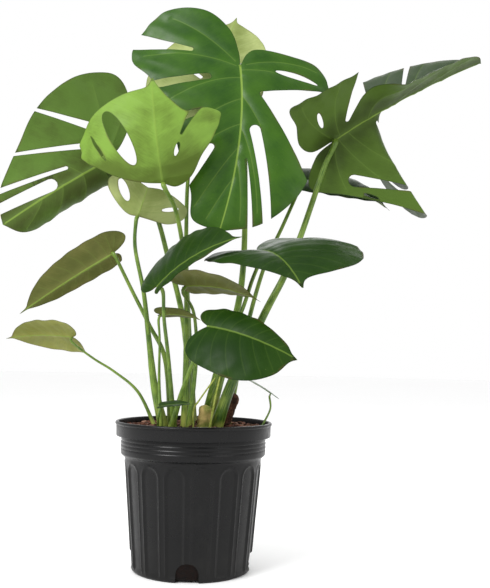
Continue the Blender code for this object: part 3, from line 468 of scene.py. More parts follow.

# ---------------------------------------------------------------- the stalks
# Each stalk's route from the soil up to just short of its blade, the radius of the sheathed
# foot, and how far it runs straight under the blade before it bends. A seedling stands between
# the wall and a neighbour this far from the middle.
STALKS = {
    "centre": dict(
        foot=0.0085, run_in=0.020,
        route=(
            (0.020, 0.030, 0.0), (0.056, 0.034, 0.151), (0.070, 0.034, 0.240), (0.072, 0.044, 0.354),
            (0.068, 0.040, 0.480),
        ),
    ),
    "left": dict(
        foot=0.0075, run_in=0.014,
        route=(
            (-0.006, 0.014, 0.0), (-0.019, 0.018, 0.149), (-0.049, 0.006, 0.268),
            (-0.068, -0.010, 0.330),
            (-0.100, -0.030, 0.382),
        ),
    ),
    "curled": dict(
        foot=0.0075, run_in=0.012,
        route=(
            (-0.012, -0.024, 0.0), (-0.013, -0.025, 0.140), (-0.017, -0.030, 0.240),
            (-0.029, -0.068, 0.318),
        ),
    ),
    "small_split": dict(
        foot=0.0088, run_in=0.010,
        route=(
            (-0.042, -0.046, 0.0), (-0.057, -0.051, 0.062), (-0.067, -0.057, 0.135),
            (-0.076, -0.062, 0.203), (-0.091, -0.056, 0.268),
        ),
    ),
    "right": dict(
        foot=0.0105, run_in=0.014,
        route=(
            (0.034, -0.012, 0.0), (0.059, -0.018, 0.073), (0.104, -0.030, 0.173), (0.135, -0.024, 0.235),
            (0.158, -0.012, 0.294), (0.176, 0.000, 0.348), (0.198, 0.014, 0.415),
        ),
    ),
    "right_rear": dict(
        foot=0.0060, run_in=0.012,
        route=(
            (0.050, 0.044, 0.0), (0.078, 0.054, 0.152), (0.106, 0.074, 0.259), (0.136, 0.094, 0.330),
        ),
    ),
    "rear": dict(
        foot=0.0065, run_in=0.012,
        route=(
            (-0.004, 0.050, 0.0), (-0.019, 0.062, 0.200), (-0.024, 0.066, 0.309),
            (-0.020, 0.062, 0.430),
        ),
    ),
    "right_middle": dict(
        foot=0.0055, run_in=0.012,
        route=(
            (0.012, -0.008, 0.0), (0.038, -0.040, 0.100), (0.070, -0.074, 0.175),
            (0.084, -0.092, 0.218),
        ),
    ),
    "left_middle": dict(
        foot=0.0050, run_in=0.012,
        route=((-0.026, -0.056, 0.0), (-0.034, -0.084, 0.100), (-0.040, -0.108, 0.160)),
    ),
    "right_low": dict(
        foot=0.0055, run_in=0.012,
        route=((-0.030, -0.072, 0.0), (-0.012, -0.090, 0.060), (0.008, -0.124, 0.110)),
    ),
    "left_hanging": dict(
        foot=0.0065, run_in=0.010,
        route=(
            (-0.032, -0.026, 0.0), (-0.044, -0.030, 0.102), (-0.069, -0.036, 0.154),
            (-0.096, -0.044, 0.206),
        ),
    ),
    "left_low": dict(
        foot=0.0034, run_in=0.008,
        route=(
            (-0.058, -0.016, 0.0), (-0.086, -0.012, 0.052), (-0.123, -0.010, 0.082),
            (-0.156, -0.012, 0.102),
        ),
    ),
    "inner": dict(
        foot=0.0050, run_in=0.010,
        route=((-0.006, -0.050, 0.0), (0.004, -0.058, 0.100), (0.000, -0.066, 0.170)),
    ),
    "inner_small": dict(
        foot=0.0036, run_in=0.008,
        route=((-0.044, -0.066, 0.0), (-0.048, -0.074, 0.070), (-0.048, -0.083, 0.130)),
    ),
    "seedling_right": dict(
        foot=0.0018, run_in=0.004, neighbour=0.046,
        route=((0.100, -0.036, 0.0), (0.107, -0.035, 0.012), (0.116, -0.033, 0.032)),
    ),
    "seedling_front": dict(
        foot=0.0018, run_in=0.004, neighbour=0.078,
        route=((-0.047, -0.082, 0.0), (-0.047, -0.086, 0.010), (-0.045, -0.100, 0.022)),
    ),
}

# Thin pale roots that stand up beside the sheathed feet: route from the soil, and radius.
ROOTS = {
    "root_front_right": dict(
        radius=0.0017, route=((0.026, -0.053, 0.0), (0.032, -0.053, 0.040), (0.040, -0.051, 0.080)),
    ),
    "root_front_left": dict(
        radius=0.0014,
        route=(
            (0.003, -0.068, 0.0), (0.003, -0.071, 0.030), (0.012, -0.075, 0.046), (0.034, -0.080, 0.078),
        ),
    ),
}

# The thick bare stem and the short stub of a cut stalk: where each stands, where it leans to,
# and its radius.
STEMS = {
    "stem_right": dict(foot=(0.044, 0.012, 0.0), top=(0.062, 0.012, 0.052), radius=0.0100),
    "stem_stub": dict(foot=(0.016, -0.036, 0.0), top=(0.019, -0.038, 0.036), radius=0.0100),
}


# ---------------------------------------------------------------- curves and small helpers
def turning_run(start, rate, run):
    """Distances gone along and above a line by paths that start at an angle and turn evenly."""
    rate = np.where(np.abs(rate) < 1e-6, 1e-6, rate)
    end = start - rate * run
    return (np.sin(start) - np.sin(end)) / rate, (np.cos(end) - np.cos(start)) / rate


def smooth_step(low, high, value):
    """0 below low, 1 above high, and an even S between them."""
    part = np.clip((value - low) / (high - low), 0.0, 1.0)
    return part * part * (3.0 - 2.0 * part)


def bell(distance, width):
    """1 on a line, and an even fall to 0 beside it."""
    return np.exp(-((distance / width) ** 2))


def through(points, step):
    """Points about a step apart on a smooth curve through the given ones."""
    knots = [Vector(p) for p in points]
    knots = [2 * knots[0] - knots[1]] + knots + [2 * knots[-1] - knots[-2]]
    curve = []
    for a, b, c, d in zip(knots, knots[1:], knots[2:], knots[3:]):
        count = max(1, round((c - b).length / step))
        for k in range(count):
            t = k / count
            square = (2 * a - 5 * b + 4 * c - d) * t * t
            cube = (3 * b - a - 3 * c + d) * t ** 3
            curve.append(0.5 * (2 * b + (c - a) * t + square + cube))
    curve.append(knots[-2])
    return curve


def path_lengths(path):
    """How far along a path each of its points is."""
    lengths = [0.0]
    for a, b in zip(path, path[1:]):
        lengths.append(lengths[-1] + (b - a).length)
    return lengths


def line_gap(points, lines):
    """Distance from each flat point to the nearest of some open lines."""
    starts = np.array([a for line in lines for a in line[:-1]])
    edges = np.array([b for line in lines for b in line[1:]]) - starts
    best = np.full(len(points), 1.0)
    lengths = np.maximum((edges ** 2).sum(1), 1e-14)
    for start, edge, length in zip(starts, edges, lengths):
        part = np.clip(((points - start) @ edge) / length, 0.0, 1.0)
        away = points - start - part[:, None] * edge
        best = np.minimum(best, np.sqrt((away ** 2).sum(1)))
    return best


def is_inside(points, loop):
    """Whether each flat point lies within a closed loop."""
    within = np.zeros(len(points), bool)
    for (ax, ay), (bx, by) in zip(loop, np.roll(loop, -1, 0)):
        crosses = (points[:, 1] < ay) != (points[:, 1] < by)
        if ay != by:
            within ^= crosses & (points[:, 0] < (bx - ax) * (points[:, 1] - ay) / (by - ay) + ax)
    return within


def ring_sides(first, count, levels):
    """Faces that join rings of points, one ring above the other, into a tube's side."""
    faces = []
    for low in range(first, first + (levels - 1) * count, count):
        for k in range(count):
            following = (k + 1) % count
            faces.append([low + k, low + following, low + count + following, low + count + k])
    return faces


def ring_ends(first, count, levels):
    """The two faces that close such a tube, the first ring's facing out."""
    last = first + (levels - 1) * count
    return [list(range(first, first + count))[::-1], list(range(last, last + count))]


def new_mesh(name, points, faces):
    """A mesh from points and faces."""
    mesh = bpy.data.meshes.new(name)
    mesh.from_pydata(points, [], faces)
    return mesh


def link(name, data):
    """An object of the scene that holds some data."""
    thing = bpy.data.objects.new(name, data)
    bpy.context.scene.collection.objects.link(thing)
    return thing


def round_ring(radius, height, bearings):
    """Points round the pot's axis, at one radius or one for each bearing."""
    return np.column_stack([
        radius * np.cos(bearings), radius * np.sin(bearings), np.full(len(bearings), height)
    ])


def on_plant(point):
    """A place given from the middle of the soil's surface, in the model's frame."""
    return Vector(point) + Vector((0.0, 0.0, SOIL_TOP))


def add_piece(name, mesh, surfaces, slot, *nodes, angle=50):
    """Put a mesh in the scene as a smooth piece that rides on the plant and stands for CAD nodes."""
    for surface in surfaces:
        mesh.materials.append(surface)
    mesh.shade_smooth()
    mesh.set_sharp_from_angle(angle=math.radians(angle))
    piece = link(name, mesh)
    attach(piece, "root")
    if nodes:
        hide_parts(*nodes)
    return piece


def store(mesh, name, rows):
    """Keep three numbers for each point of a mesh, for its material to read."""
    layer = mesh.attributes.new(name, "FLOAT_VECTOR", "POINT")
    layer.data.foreach_set("vector", np.asarray(rows, np.float32).ravel())


# ---------------------------------------------------------------- material building
class Nodes:
    """A material's node tree with short calls for the nodes used here."""

    def __init__(self, name):
        self.material = bpy.data.materials.new(name)
        self.material.use_nodes = True
        self.tree = self.material.node_tree
        self.shader = self.tree.nodes["Principled BSDF"]

    def put(self, socket, value):
        """Link a socket's value, or set a plain one."""
        if isinstance(value, bpy.types.NodeSocket):
            self.tree.links.new(value, socket)
        elif isinstance(value, tuple) and len(value) == 3 and socket.type == "RGBA":
            socket.default_value = (*value, 1.0)
        else:
            socket.default_value = value

    def math(self, operation, a, b):
        node = self.tree.nodes.new("ShaderNodeMath")
        node.operation = operation
        self.put(node.inputs[0], a)
        self.put(node.inputs[1], b)
        return node.outputs[0]

    def times(self, a, b):
        return self.math("MULTIPLY", a, b)

    def plus(self, a, b):
        return self.math("ADD", a, b)

    def ramp(self, value, low, high, start=0.0, end=1.0):
        """Map a value between two limits smoothly onto another range."""
        node = self.tree.nodes.new("ShaderNodeMapRange")
        node.interpolation_type = "SMOOTHSTEP"
        for socket, number in zip(node.inputs, (value, low, high, start, end)):
            self.put(socket, number)
        return node.outputs[0]

    def mix(self, share, a, b):
        node = self.tree.nodes.new("ShaderNodeMix")
        node.data_type = "RGBA"
        self.put(node.inputs[0], share)
        self.put(node.inputs[6], a)
        self.put(node.inputs[7], b)
        return node.outputs[2]

    def place(self):
        """The point's own place in the object's frame."""
        return self.tree.nodes.new("ShaderNodeTexCoord").outputs["Object"]

    def split(self, vector):
        """A vector's three numbers, each on its own socket."""
        node = self.tree.nodes.new("ShaderNodeSeparateXYZ")
        self.put(node.inputs[0], vector)
        return node.outputs

    def kept(self, name):
        """Three numbers kept on the mesh, each on its own socket."""
        node = self.tree.nodes.new("ShaderNodeAttribute")
        node.attribute_name = name
        return self.split(node.outputs["Vector"])

    def join(self, x, y, z=0.0):
        node = self.tree.nodes.new("ShaderNodeCombineXYZ")
        for socket, value in zip(node.inputs, (x, y, z)):
            self.put(socket, value)
        return node.outputs[0]

    def noise(self, where, scale, detail=3.0, roughness=0.55):
        node = self.tree.nodes.new("ShaderNodeTexNoise")
        self.put(node.inputs["Vector"], where)
        node.inputs["Scale"].default_value = scale
        node.inputs["Detail"].default_value = detail
        node.inputs["Roughness"].default_value = roughness
        return node.outputs[0]

    def cells(self, where, scale, feature="F1"):
        node = self.tree.nodes.new("ShaderNodeTexVoronoi")
        node.feature = feature
        self.put(node.inputs["Vector"], where)
        node.inputs["Scale"].default_value = scale
        return node.outputs["Distance"]

    def bump(self, height, distance, strength=1.0):
        node = self.tree.nodes.new("ShaderNodeBump")
        node.inputs["Strength"].default_value = strength
        node.inputs["Distance"].default_value = distance
        self.put(node.inputs["Height"], height)
        self.put(self.shader.inputs["Normal"], node.outputs[0])

    def finish(self, colour, roughness, **plain):
        """Set the shader: colour and roughness may vary, the rest are single numbers."""
        self.put(self.shader.inputs["Base Color"], colour)
        self.put(self.shader.inputs["Roughness"], roughness)
        for name, value in plain.items():
            self.shader.inputs[name.replace("_", " ")].default_value = value
        return self.material


def leaf_surface(look, upper):
    """Waxy leaf skin: mottled green, veins, fine slanting streaks between them, tiny flecks."""
    dark, light = LOOKS[look][0:2] if upper else LOOKS[look][2:4]
    base_roughness, vein_share, rib_share = LOOKS[look][4:]
    n = Nodes(f"leaf_{look}_{'upper' if upper else 'under'}")
    where = n.place()
    side, along, margin = n.kept("flat")
    rib, vein, reach = n.kept("lines")
    mottle = n.noise(where, 22.0, 4.0)
    cloud = n.noise(where, 9.0, 2.0)
    streak_where = n.join(
        n.times(n.math("SUBTRACT", along, n.times(side, 0.75)), 900.0),
        n.times(side, 60.0),
    )
    streaks = n.noise(streak_where, 1.0, 2.0)
    fine = n.noise(where, 700.0, 2.0)
    share = n.plus(n.times(mottle, 0.9), n.times(streaks, 0.35))
    share = n.plus(share, n.times(cloud, 0.5))
    # The young leaf's dark near its stalk is painted shade, where its base lies in shadow.
    if look == "young":
        outward = n.ramp(along, 0.0, 0.070, -0.45, 0.10)
    elif upper:
        outward = n.ramp(margin, 0.0, 0.030, 0.08, -0.02)
    else:
        outward = n.ramp(rib, 0.004, 0.060, -0.22, 0.18)
    share = n.plus(share, outward)
    colour = n.mix(n.ramp(share, 0.60, 1.15), dark, light)
    beside = n.ramp(vein, 0.0, 0.009, 0.45 * vein_share, 0.0)
    beside_rib = n.ramp(rib, 0.0, 0.014, 0.40 * rib_share, 0.0)
    glow = n.math("MAXIMUM", beside, beside_rib)
    colour = n.mix(glow, colour, tuple(1.35 * c + 0.008 for c in light))
    colour = n.mix(n.ramp(vein, 0.0002, 0.0013, vein_share, 0.0), colour, VEIN_COLOUR)
    on_rib = n.ramp(rib, reach, n.plus(reach, 0.0012), rib_share, 0.0)
    colour = n.mix(on_rib, colour, MIDRIB_COLOUR)
    flecks = n.ramp(n.cells(where, 160.0), 0.05, 0.10, 0.30, 0.0)
    flecks = n.times(flecks, n.ramp(cloud, 0.56, 0.64))
    colour = n.mix(flecks, colour, (0.20, 0.23, 0.09))
    browned = n.times(n.ramp(margin, 0.0005, 0.0040, 0.35, 0.0), n.ramp(mottle, 0.52, 0.62))
    colour = n.mix(browned, colour, MARGIN_BROWN)
    edge = n.ramp(margin, 0.0003, 0.0013, 0.55, 0.0)
    colour = n.mix(edge, colour, tuple(0.40 * c for c in dark))
    waxy = base_roughness if upper else base_roughness + 0.12
    roughness = n.ramp(n.noise(where, 45.0, 4.0), 0.3, 0.7, waxy - 0.06, waxy + 0.10)
    height = n.plus(n.times(streaks, 0.6), n.times(fine, 0.4))
    n.bump(height, 0.00035, 0.55 if upper else 0.7)
    level, coat = (0.18, 0.04) if upper else (0.16, 0.0)
    if look == "dark":
        level, coat = 0.09, 0.0
    return n.finish(colour, roughness, Coat_Weight=coat, Coat_Roughness=0.26, Specular_IOR_Level=level)


def stalk_surface():
    """Juicy stalk skin: long streaks, pale speckles, a pale channel and a yellowing foot."""
    n = Nodes("stalk_skin")
    where = n.place()
    run, turn, channel = n.kept("stalk")
    streak_where = n.join(n.times(run, 6.0), n.times(turn, 3.2))
    streaks = n.noise(streak_where, 3.0, 5.0)
    mottle = n.noise(where, 30.0, 3.0)
    share = n.plus(n.times(streaks, 1.1), n.times(mottle, 0.5))
    colour = n.mix(n.ramp(share, 0.62, 0.98), STALK_DARK, STALK_LIGHT)
    colour = n.mix(n.times(channel, 0.85), colour, SHEATH_PALE)
    foot = n.ramp(run, 0.0, 0.15, 0.90, 0.0)
    colour = n.mix(n.times(foot, n.ramp(mottle, 0.35, 0.65)), colour, FOOT_YELLOW)
    specks = n.ramp(n.cells(where, 420.0), 0.10, 0.24, 0.5, 0.0)
    colour = n.mix(n.times(specks, n.ramp(mottle, 0.45, 0.6)), colour, (0.24, 0.32, 0.08))
    scars = n.ramp(n.noise(where, 55.0, 2.0), 0.71, 0.76, 0.0, 0.8)
    colour = n.mix(scars, colour, (0.16, 0.07, 0.022))
    n.bump(n.plus(streaks, n.times(n.noise(where, 500.0), 0.3)), 0.0004, 0.6)
    roughness = n.ramp(mottle, 0.3, 0.7, 0.34, 0.50)
    return n.finish(colour, roughness, Coat_Weight=0.06, Coat_Roughness=0.30, Specular_IOR_Level=0.28)


def bark_surface(name, dark, light, scale, cracked):
    """Rough plant bark or fibre: cracked plates over a mottled ground, with painted shade that turns it
    near black deep in the pot.
    """
    n = Nodes(name)
    where = n.place()
    mottle = n.noise(where, scale, 5.0, 0.65)
    cracks = n.cells(where, scale * 3.5, "DISTANCE_TO_EDGE")
    colour = n.mix(n.ramp(mottle, 0.35, 0.68), dark, light)
    colour = n.mix(n.ramp(cracks, 0.0, 0.12, cracked, 0.0), colour, tuple(0.35 * c for c in dark))
    height = n.plus(n.times(cracks, 1.15 * cracked), mottle)
    n.bump(height, 0.0016, 0.8)
    # Painted shade: near black from a little below the soil's surface down, where the inside of the pot
    # lies in shadow.
    below = n.ramp(n.split(where)[2], SOIL_TOP - 0.030, SOIL_TOP - 0.012, 0.93, 0.0)
    colour = n.mix(below, colour, (0.003, 0.0026, 0.0024))
    return n.finish(colour, n.ramp(mottle, 0.3, 0.7, 0.72, 0.95), Specular_IOR_Level=0.15)


def chip_surface():
    """Bark chips: each its own brown, with fibres and pale broken faces."""
    n = Nodes("bark_chip")
    where = n.place()
    tone, pale, _ = n.kept("chip")
    fibre = n.noise(where, 260.0, 4.0, 0.7)
    colour = n.mix(n.ramp(tone, 0.1, 0.9), (0.040, 0.014, 0.008), (0.200, 0.080, 0.048))
    colour = n.mix(n.ramp(pale, 0.72, 0.95, 0.0, 0.75), colour, (0.380, 0.220, 0.160))
    colour = n.mix(n.ramp(fibre, 0.42, 0.62, 0.55, 0.0), colour, (0.035, 0.014, 0.009))
    n.bump(fibre, 0.0009, 0.9)
    return n.finish(colour, n.ramp(fibre, 0.3, 0.7, 0.80, 0.96), Specular_IOR_Level=0.2)


def pot_surface():
    """Moulded black plastic: fine grain, dusty low parts, dull rubbed patches and light scratches."""
    n = Nodes("pot_plastic")
    where = n.place()
    x, y, height = n.split(where)
    dust_cloud = n.noise(where, 16.0, 5.0, 0.6)
    stretched = n.join(x, y, n.times(height, 0.08))
    scratches = n.noise(stretched, 420.0, 3.0, 0.75)
    grain = n.noise(where, 1500.0, 2.0)
    low = n.ramp(height, 0.0, 0.070, 0.55, 0.0)
    dust = n.plus(n.times(low, dust_cloud), n.ramp(dust_cloud, 0.52, 0.80, 0.0, 0.30))
    colour = n.mix(dust, (0.0030, 0.0030, 0.0032), (0.0150, 0.0145, 0.0135))
    colour = n.mix(n.ramp(scratches, 0.70, 0.80, 0.0, 0.30), colour, (0.040, 0.040, 0.040))
    wear = n.ramp(n.noise(where, 60.0, 4.0), 0.35, 0.7, 0.26, 0.36)
    roughness = n.plus(wear, n.times(dust, 0.25))
    n.bump(n.plus(n.times(grain, 0.5), n.times(scratches, 0.5)), 0.00018, 0.5)
    return n.finish(colour, roughness, Specular_IOR_Level=0.20)


# ---------------------------------------------------------------- blades
class Blade:
    """One leaf blade: its flat outline and veins, and how the flat leaf is arched and folded."""

    def __init__(self, sizes):
        self.name = sizes["name"]
        self.base = on_plant(sizes["base"])
        chord = on_plant(sizes["tip"]) - self.base
        self.arch = math.radians(sizes["arch"])
        half_arch = self.arch / 2
        self.length = chord.length * half_arch / math.sin(half_arch)
        self.chord = chord.normalized()
        face = Vector(sizes["face"])
        self.face = (face - face.dot(self.chord) * self.chord).normalized()
        self.across = self.chord.cross(self.face)
        self.back = math.radians(sizes.get("back", sizes["arch"]))
        self.fold = np.radians(sizes["fold"])
        self.fold_tip = np.radians(sizes.get("fold_tip", sizes["fold"]))
        self.turn_at = sizes.get("turn_at", (0.2, 0.6))
        self.curl = np.radians(sizes["curl"])
        self.sway = sizes.get("sway", 0.0)
        self.sides = [self.side_outline(sizes, k) for k in (0, 1)]
        self.reach = np.array([max(p[0] for p in side) for side in self.sides]) * self.length
        self.cuts = sizes.get("cuts", ())
        self.holes = sizes.get("holes", ())
        self.own_veins = sizes.get("veins")
        self.look = sizes["look"]
        self.stalk_radius = sizes["stalk"]
        self.seed = sum(ord(c) for c in self.name)

    def side_outline(self, sizes, side):
        """One side's outline points, its own or the common heart shape."""
        own = sizes.get(("right", "left")[side])
        if own:
            return own
        half, lobe = sizes["half"][side], sizes["lobe"][side]
        return [(s * half, a * (lobe if a < 0 else 1.0)) for s, a in HEART]

    def place(self, side, along, height):
        """Where points of the flat blade lie, each a height above it on the upper side."""
        base, chord, face, across = [np.array(v) for v in (self.base, self.chord, self.face, self.across)]
        rate = np.where(along < 0, self.back, self.arch) / self.length
        run, rise = turning_run(self.arch / 2, rate, along)
        turn = (self.arch / 2 - rate * along)[:, None]
        up = face * np.cos(turn) - chord * np.sin(turn)
        middle = base + chord * run[:, None] + face * rise[:, None]
        k = np.where(side >= 0, 0, 1)
        share = smooth_step(*self.turn_at, along / self.length)
        fold = self.fold[k] + (self.fold_tip[k] - self.fold[k]) * share
        rate = self.curl[k] / self.reach[k]
        out, rise = turning_run(fold, rate, np.abs(side))
        angle = fold - rate * np.abs(side)
        sign = np.where(side >= 0, 1.0, -1.0)
        part = np.clip(along / self.length, 0.0, 1.0)
        bow = self.sway * self.length * 4.0 * part * (1.0 - part)
        level = np.abs(side) < 1e-5
        normal = up * np.where(level, 1.0, np.cos(angle))[:, None]
        normal = normal - across * np.where(level, 0.0, sign * np.sin(angle))[:, None]
        sideways = across * (sign * out + bow)[:, None]
        return middle + sideways + up * rise[:, None] + normal * height[:, None]

    def outline(self):
        """The whole flat outline, tip to sinus up the left side and back down the right."""
        step = RIM_STEP / self.length
        right = through([(s, a, 0.0) for s, a in self.sides[0]], step)
        left = through([(-s, a, 0.0) for s, a in self.sides[1]], step)
        return np.array([(p.x, p.y) for p in right + left[-2:0:-1]]) * self.length

    def slot(self, sign, inner, outer, inner_width, outer_width):
        """A cut's flat outline: a slot with a round inner end that opens past the margin."""
        start = Vector((sign * inner[0], inner[1])) * self.length
        end = Vector((sign * outer[0], outer[1])) * self.length
        run = (end - start).normalized()
        normal = Vector((-run.y, run.x))
        steps = max(6, round((end - start).length / RIM_STEP))
        near, far = [], []
        for k in range(steps + 1):
            part = k / steps
            half = 0.5 * self.length * (inner_width + (outer_width - inner_width) * part)
            middle = start.lerp(end, part)
            near.append(middle + normal * half)
            far.append(middle - normal * half)
        radius = 0.5 * self.length * inner_width
        cap = [
            start - run * (radius * math.sin(t)) + normal * (radius * math.cos(t))
            for t in (math.pi / 6, math.pi / 3, math.pi / 2, 2 * math.pi / 3, 5 * math.pi / 6)
        ]
        return np.array(cap + far + near[::-1])

    def lens(self, sign, one, other, width):
        """A hole's flat outline: a lens between two points."""
        start = Vector((sign * one[0], one[1])) * self.length
        end = Vector((sign * other[0], other[1])) * self.length
        run = (end - start).normalized()
        normal = Vector((-run.y, run.x)) * (0.5 * self.length * width)
        count = max(12, 2 * round((end - start).length / RIM_STEP))
        turns = [2 * math.pi * k / count for k in range(count)]
        return np.array([
            start.lerp(end, 0.5 - 0.5 * math.cos(t)) - normal * math.sin(t) for t in turns
        ])

    def vein_lines(self, loops):
        """The side veins' flat lines, each stopped short of the margin, a cut or a hole."""
        if self.own_veins:
            ends = [(sign, start, Vector(end)) for sign, start, end in self.own_veins]
        else:
            ends = []
            for sign, side in ((1, self.sides[0]), (-1, self.sides[1])):
                reach = max(p[0] for p in side)
                for start, slope in DEFAULT_VEINS:
                    run = Vector((math.sin(math.radians(slope)), math.cos(math.radians(slope))))
                    ends.append((sign, start, Vector((0.0, start)) + run * (1.15 * reach)))
        lines = []
        for sign, start, end in ends:
            first = Vector((0.0, start * self.length))
            last = Vector((sign * end[0], end[1])) * self.length
            bend = Vector((0.0, VEIN_BEND * (last - first).length))
            count = max(3, round((last - first).length / VEIN_STEP))
            parts = [k / count for k in range(count + 1)]
            points = np.array([first.lerp(last, part) + bend * (part ** 2 - part) for part in parts])
            rim_gap = line_gap(points, [np.vstack([loop, loop[:1]]) for loop in loops])
            good = is_inside(points, loops[0]) & (rim_gap > VEIN_RIM_GAP)
            for loop in loops[1:]:
                good &= ~is_inside(points, loop)
            if not good.any():
                continue
            begin = int(np.argmax(good))
            stop = len(points) if good[begin:].all() else begin + int(np.argmin(good[begin:]))
            if stop - begin > 3:
                lines.append(points[begin:stop])
        return lines

    def flat_mesh(self):
        """Flat points and triangles, the veins' lines and the loops of the rim."""
        loops = [self.outline()]
        loops += [self.slot(*cut) for cut in self.cuts]
        loops += [self.lens(*hole) for hole in self.holes]
        veins = self.vein_lines(loops)
        closed = [np.vstack([loop, loop[:1]]) for loop in loops]
        points, faces, edges = [], [], []
        for loop in loops:
            faces.append(list(range(len(points), len(points) + len(loop))))
            points += [tuple(p) for p in loop]
        rib_count = int(self.length * RIB_SHARE / VEIN_STEP)
        rib = np.array([(0.0, (k + 1) * VEIN_STEP) for k in range(rib_count)])
        lines = [rib] + veins
        for line in lines:
            first = len(points)
            inner = line if line is rib else line[1:]
            points += [tuple(p) for p in inner]
            edges += [(first + k, first + k + 1) for k in range(len(inner) - 1)]
        extra = [p for line in lines for p in self.side_rows(line)]
        extra = np.array(extra + self.grid_points(loops, lines))
        clear = line_gap(extra, closed) > RIM_CLEARANCE * RIM_STEP
        points += [tuple(p) for p in extra[clear]]
        flat, _, triangles, _, _, origins = delaunay_2d_cdt(
            [Vector(p) for p in points], edges, faces, 1, 1e-6, True
        )
        kept = [t for t, origin in zip(triangles, origins) if origin == [0]]
        used = sorted({v for t in kept for v in t})
        renumber = {v: k for k, v in enumerate(used)}
        flat = np.array([flat[v] for v in used])
        return flat, [[renumber[v] for v in t] for t in kept], veins, closed

    def side_rows(self, line):
        """Rows of points close beside a vein, so that its ridge is crisp."""
        rows = []
        for a, b in zip(line, line[1:]):
            run = (b - a) / max(np.linalg.norm(b - a), 1e-9)
            normal = np.array((-run[1], run[0])) * VEIN_SIDE_ROW
            middle = (a + b) / 2
            rows += [middle + normal, middle - normal]
        return rows

    def grid_points(self, loops, lines):
        """A triangular grid of points, away from the rim and the veins."""
        low, high = loops[0].min(0), loops[0].max(0)
        row_gap = GRID_STEP * math.sqrt(3) / 2
        rows = np.arange(low[1], high[1], row_gap)
        grid = np.array([
            (x + 0.5 * GRID_STEP * (k % 2), y)
            for k, y in enumerate(rows) for x in np.arange(low[0], high[0], GRID_STEP)
        ])
        closed = [np.vstack([loop, loop[:1]]) for loop in loops]
        clear = line_gap(grid, closed) > GRID_RIM_CLEARANCE * RIM_STEP
        clear &= line_gap(grid, lines) > GRID_VEIN_CLEARANCE * VEIN_SIDE_ROW
        clear &= is_inside(grid, loops[0])
        return list(grid[clear])


def build_blade(blade):
    """A blade as one closed thin solid, grooved at its veins above and ribbed below."""
    flat, triangles, veins, closed = blade.flat_mesh()
    side, along = flat[:, 0], flat[:, 1]
    length = blade.length
    rib_gap = np.where(along >= 0, np.abs(side), np.hypot(side, along))
    vein_gap = line_gap(flat, veins) if veins else np.full(len(flat), 1.0)
    margin = line_gap(flat, closed)
    k = np.where(side >= 0, 0, 1)
    outward = np.abs(side) / blade.reach[k]
    scale = min(1.0, length / WHOLE_RELIEF_LENGTH)
    taper = np.clip(1.0 - 0.80 * along / length, 0.15, 1.0)
    thin_out = 1.0 - 0.6 * np.clip(outward, 0.0, 1.0)
    relief = scale * (LEAST_RELIEF + RELIEF_OF_VEINS * LOOKS[blade.look][5])
    near_margin = smooth_step(0.0, FLAT_AT_MARGIN * scale, margin)
    quilt = QUILT_HEIGHT * relief * (1.0 - bell(vein_gap, QUILT_WIDTH * scale)) * near_margin
    quilt = quilt - QUILT_HEIGHT * relief * 0.5
    phase = WAVES_PER_METRE * 2 * math.pi * (along + WAVE_SLANT * side)
    swell = np.array([noise.noise(Vector((*(p * SWELL_SCALE), blade.seed))) for p in flat])
    wave = WAVE_SHARE * np.sin(phase + blade.seed) + SWELL_RISE * swell
    wave = MARGIN_WAVE * scale * outward ** 2 * wave
    middle = (quilt + wave) * smooth_step(0.0, FLAT_AT_JOINT * scale, np.hypot(side, along))
    groove = VEIN_GROOVE * relief * thin_out * bell(vein_gap, VEIN_WIDTH)
    channel = MIDRIB_CHANNEL * scale * taper * bell(rib_gap, 1.3 * MIDRIB_WIDTH * scale)
    ridge = VEIN_HEIGHT * relief * thin_out * bell(vein_gap, VEIN_WIDTH)
    keel = MIDRIB_HEIGHT * scale * taper * bell(rib_gap, MIDRIB_WIDTH * scale * (0.4 + 0.6 * taper))
    half = EDGE_SHARE + (1.0 - EDGE_SHARE) * smooth_step(0.0, EDGE_WIDTH, margin)
    half = 0.5 * BLADE_THICKNESS * half
    upper = blade.place(side, along, middle + half - groove - channel)
    lower = blade.place(side, along, middle - half - ridge - keel)
    count = len(flat)
    points = np.vstack([upper, lower])
    edges = {}
    for a, b, c in triangles:
        for edge in ((a, b), (b, c), (c, a)):
            edges[edge] = True
    rim = [(a, b) for a, b in edges if (b, a) not in edges]
    faces = [list(t) for t in triangles]
    faces += [[c + count, b + count, a + count] for a, b, c in triangles]
    faces += [[b, a, a + count, b + count] for a, b in rim]
    mesh = new_mesh(blade.name, points.tolist(), faces)
    slots = [0] * len(triangles) + [1] * len(triangles) + [0] * len(rim)
    mesh.polygons.foreach_set("material_index", slots)
    mid_width = RIB_LINE * scale * (0.3 + 0.7 * taper)
    store(mesh, "flat", np.tile(np.column_stack([np.abs(side), along, margin]), (2, 1)))
    store(mesh, "lines", np.tile(np.column_stack([rib_gap, vein_gap, mid_width]), (2, 1)))
    surfaces = [LEAF_SURFACES[blade.look, True], LEAF_SURFACES[blade.look, False]]
    slot = next(s["material_slot"] for s in frame["record"]["subparts"] if s["node"] == blade.name)
    return add_piece(blade.name.replace("blade", "leaf"), mesh, surfaces, slot, blade.name)


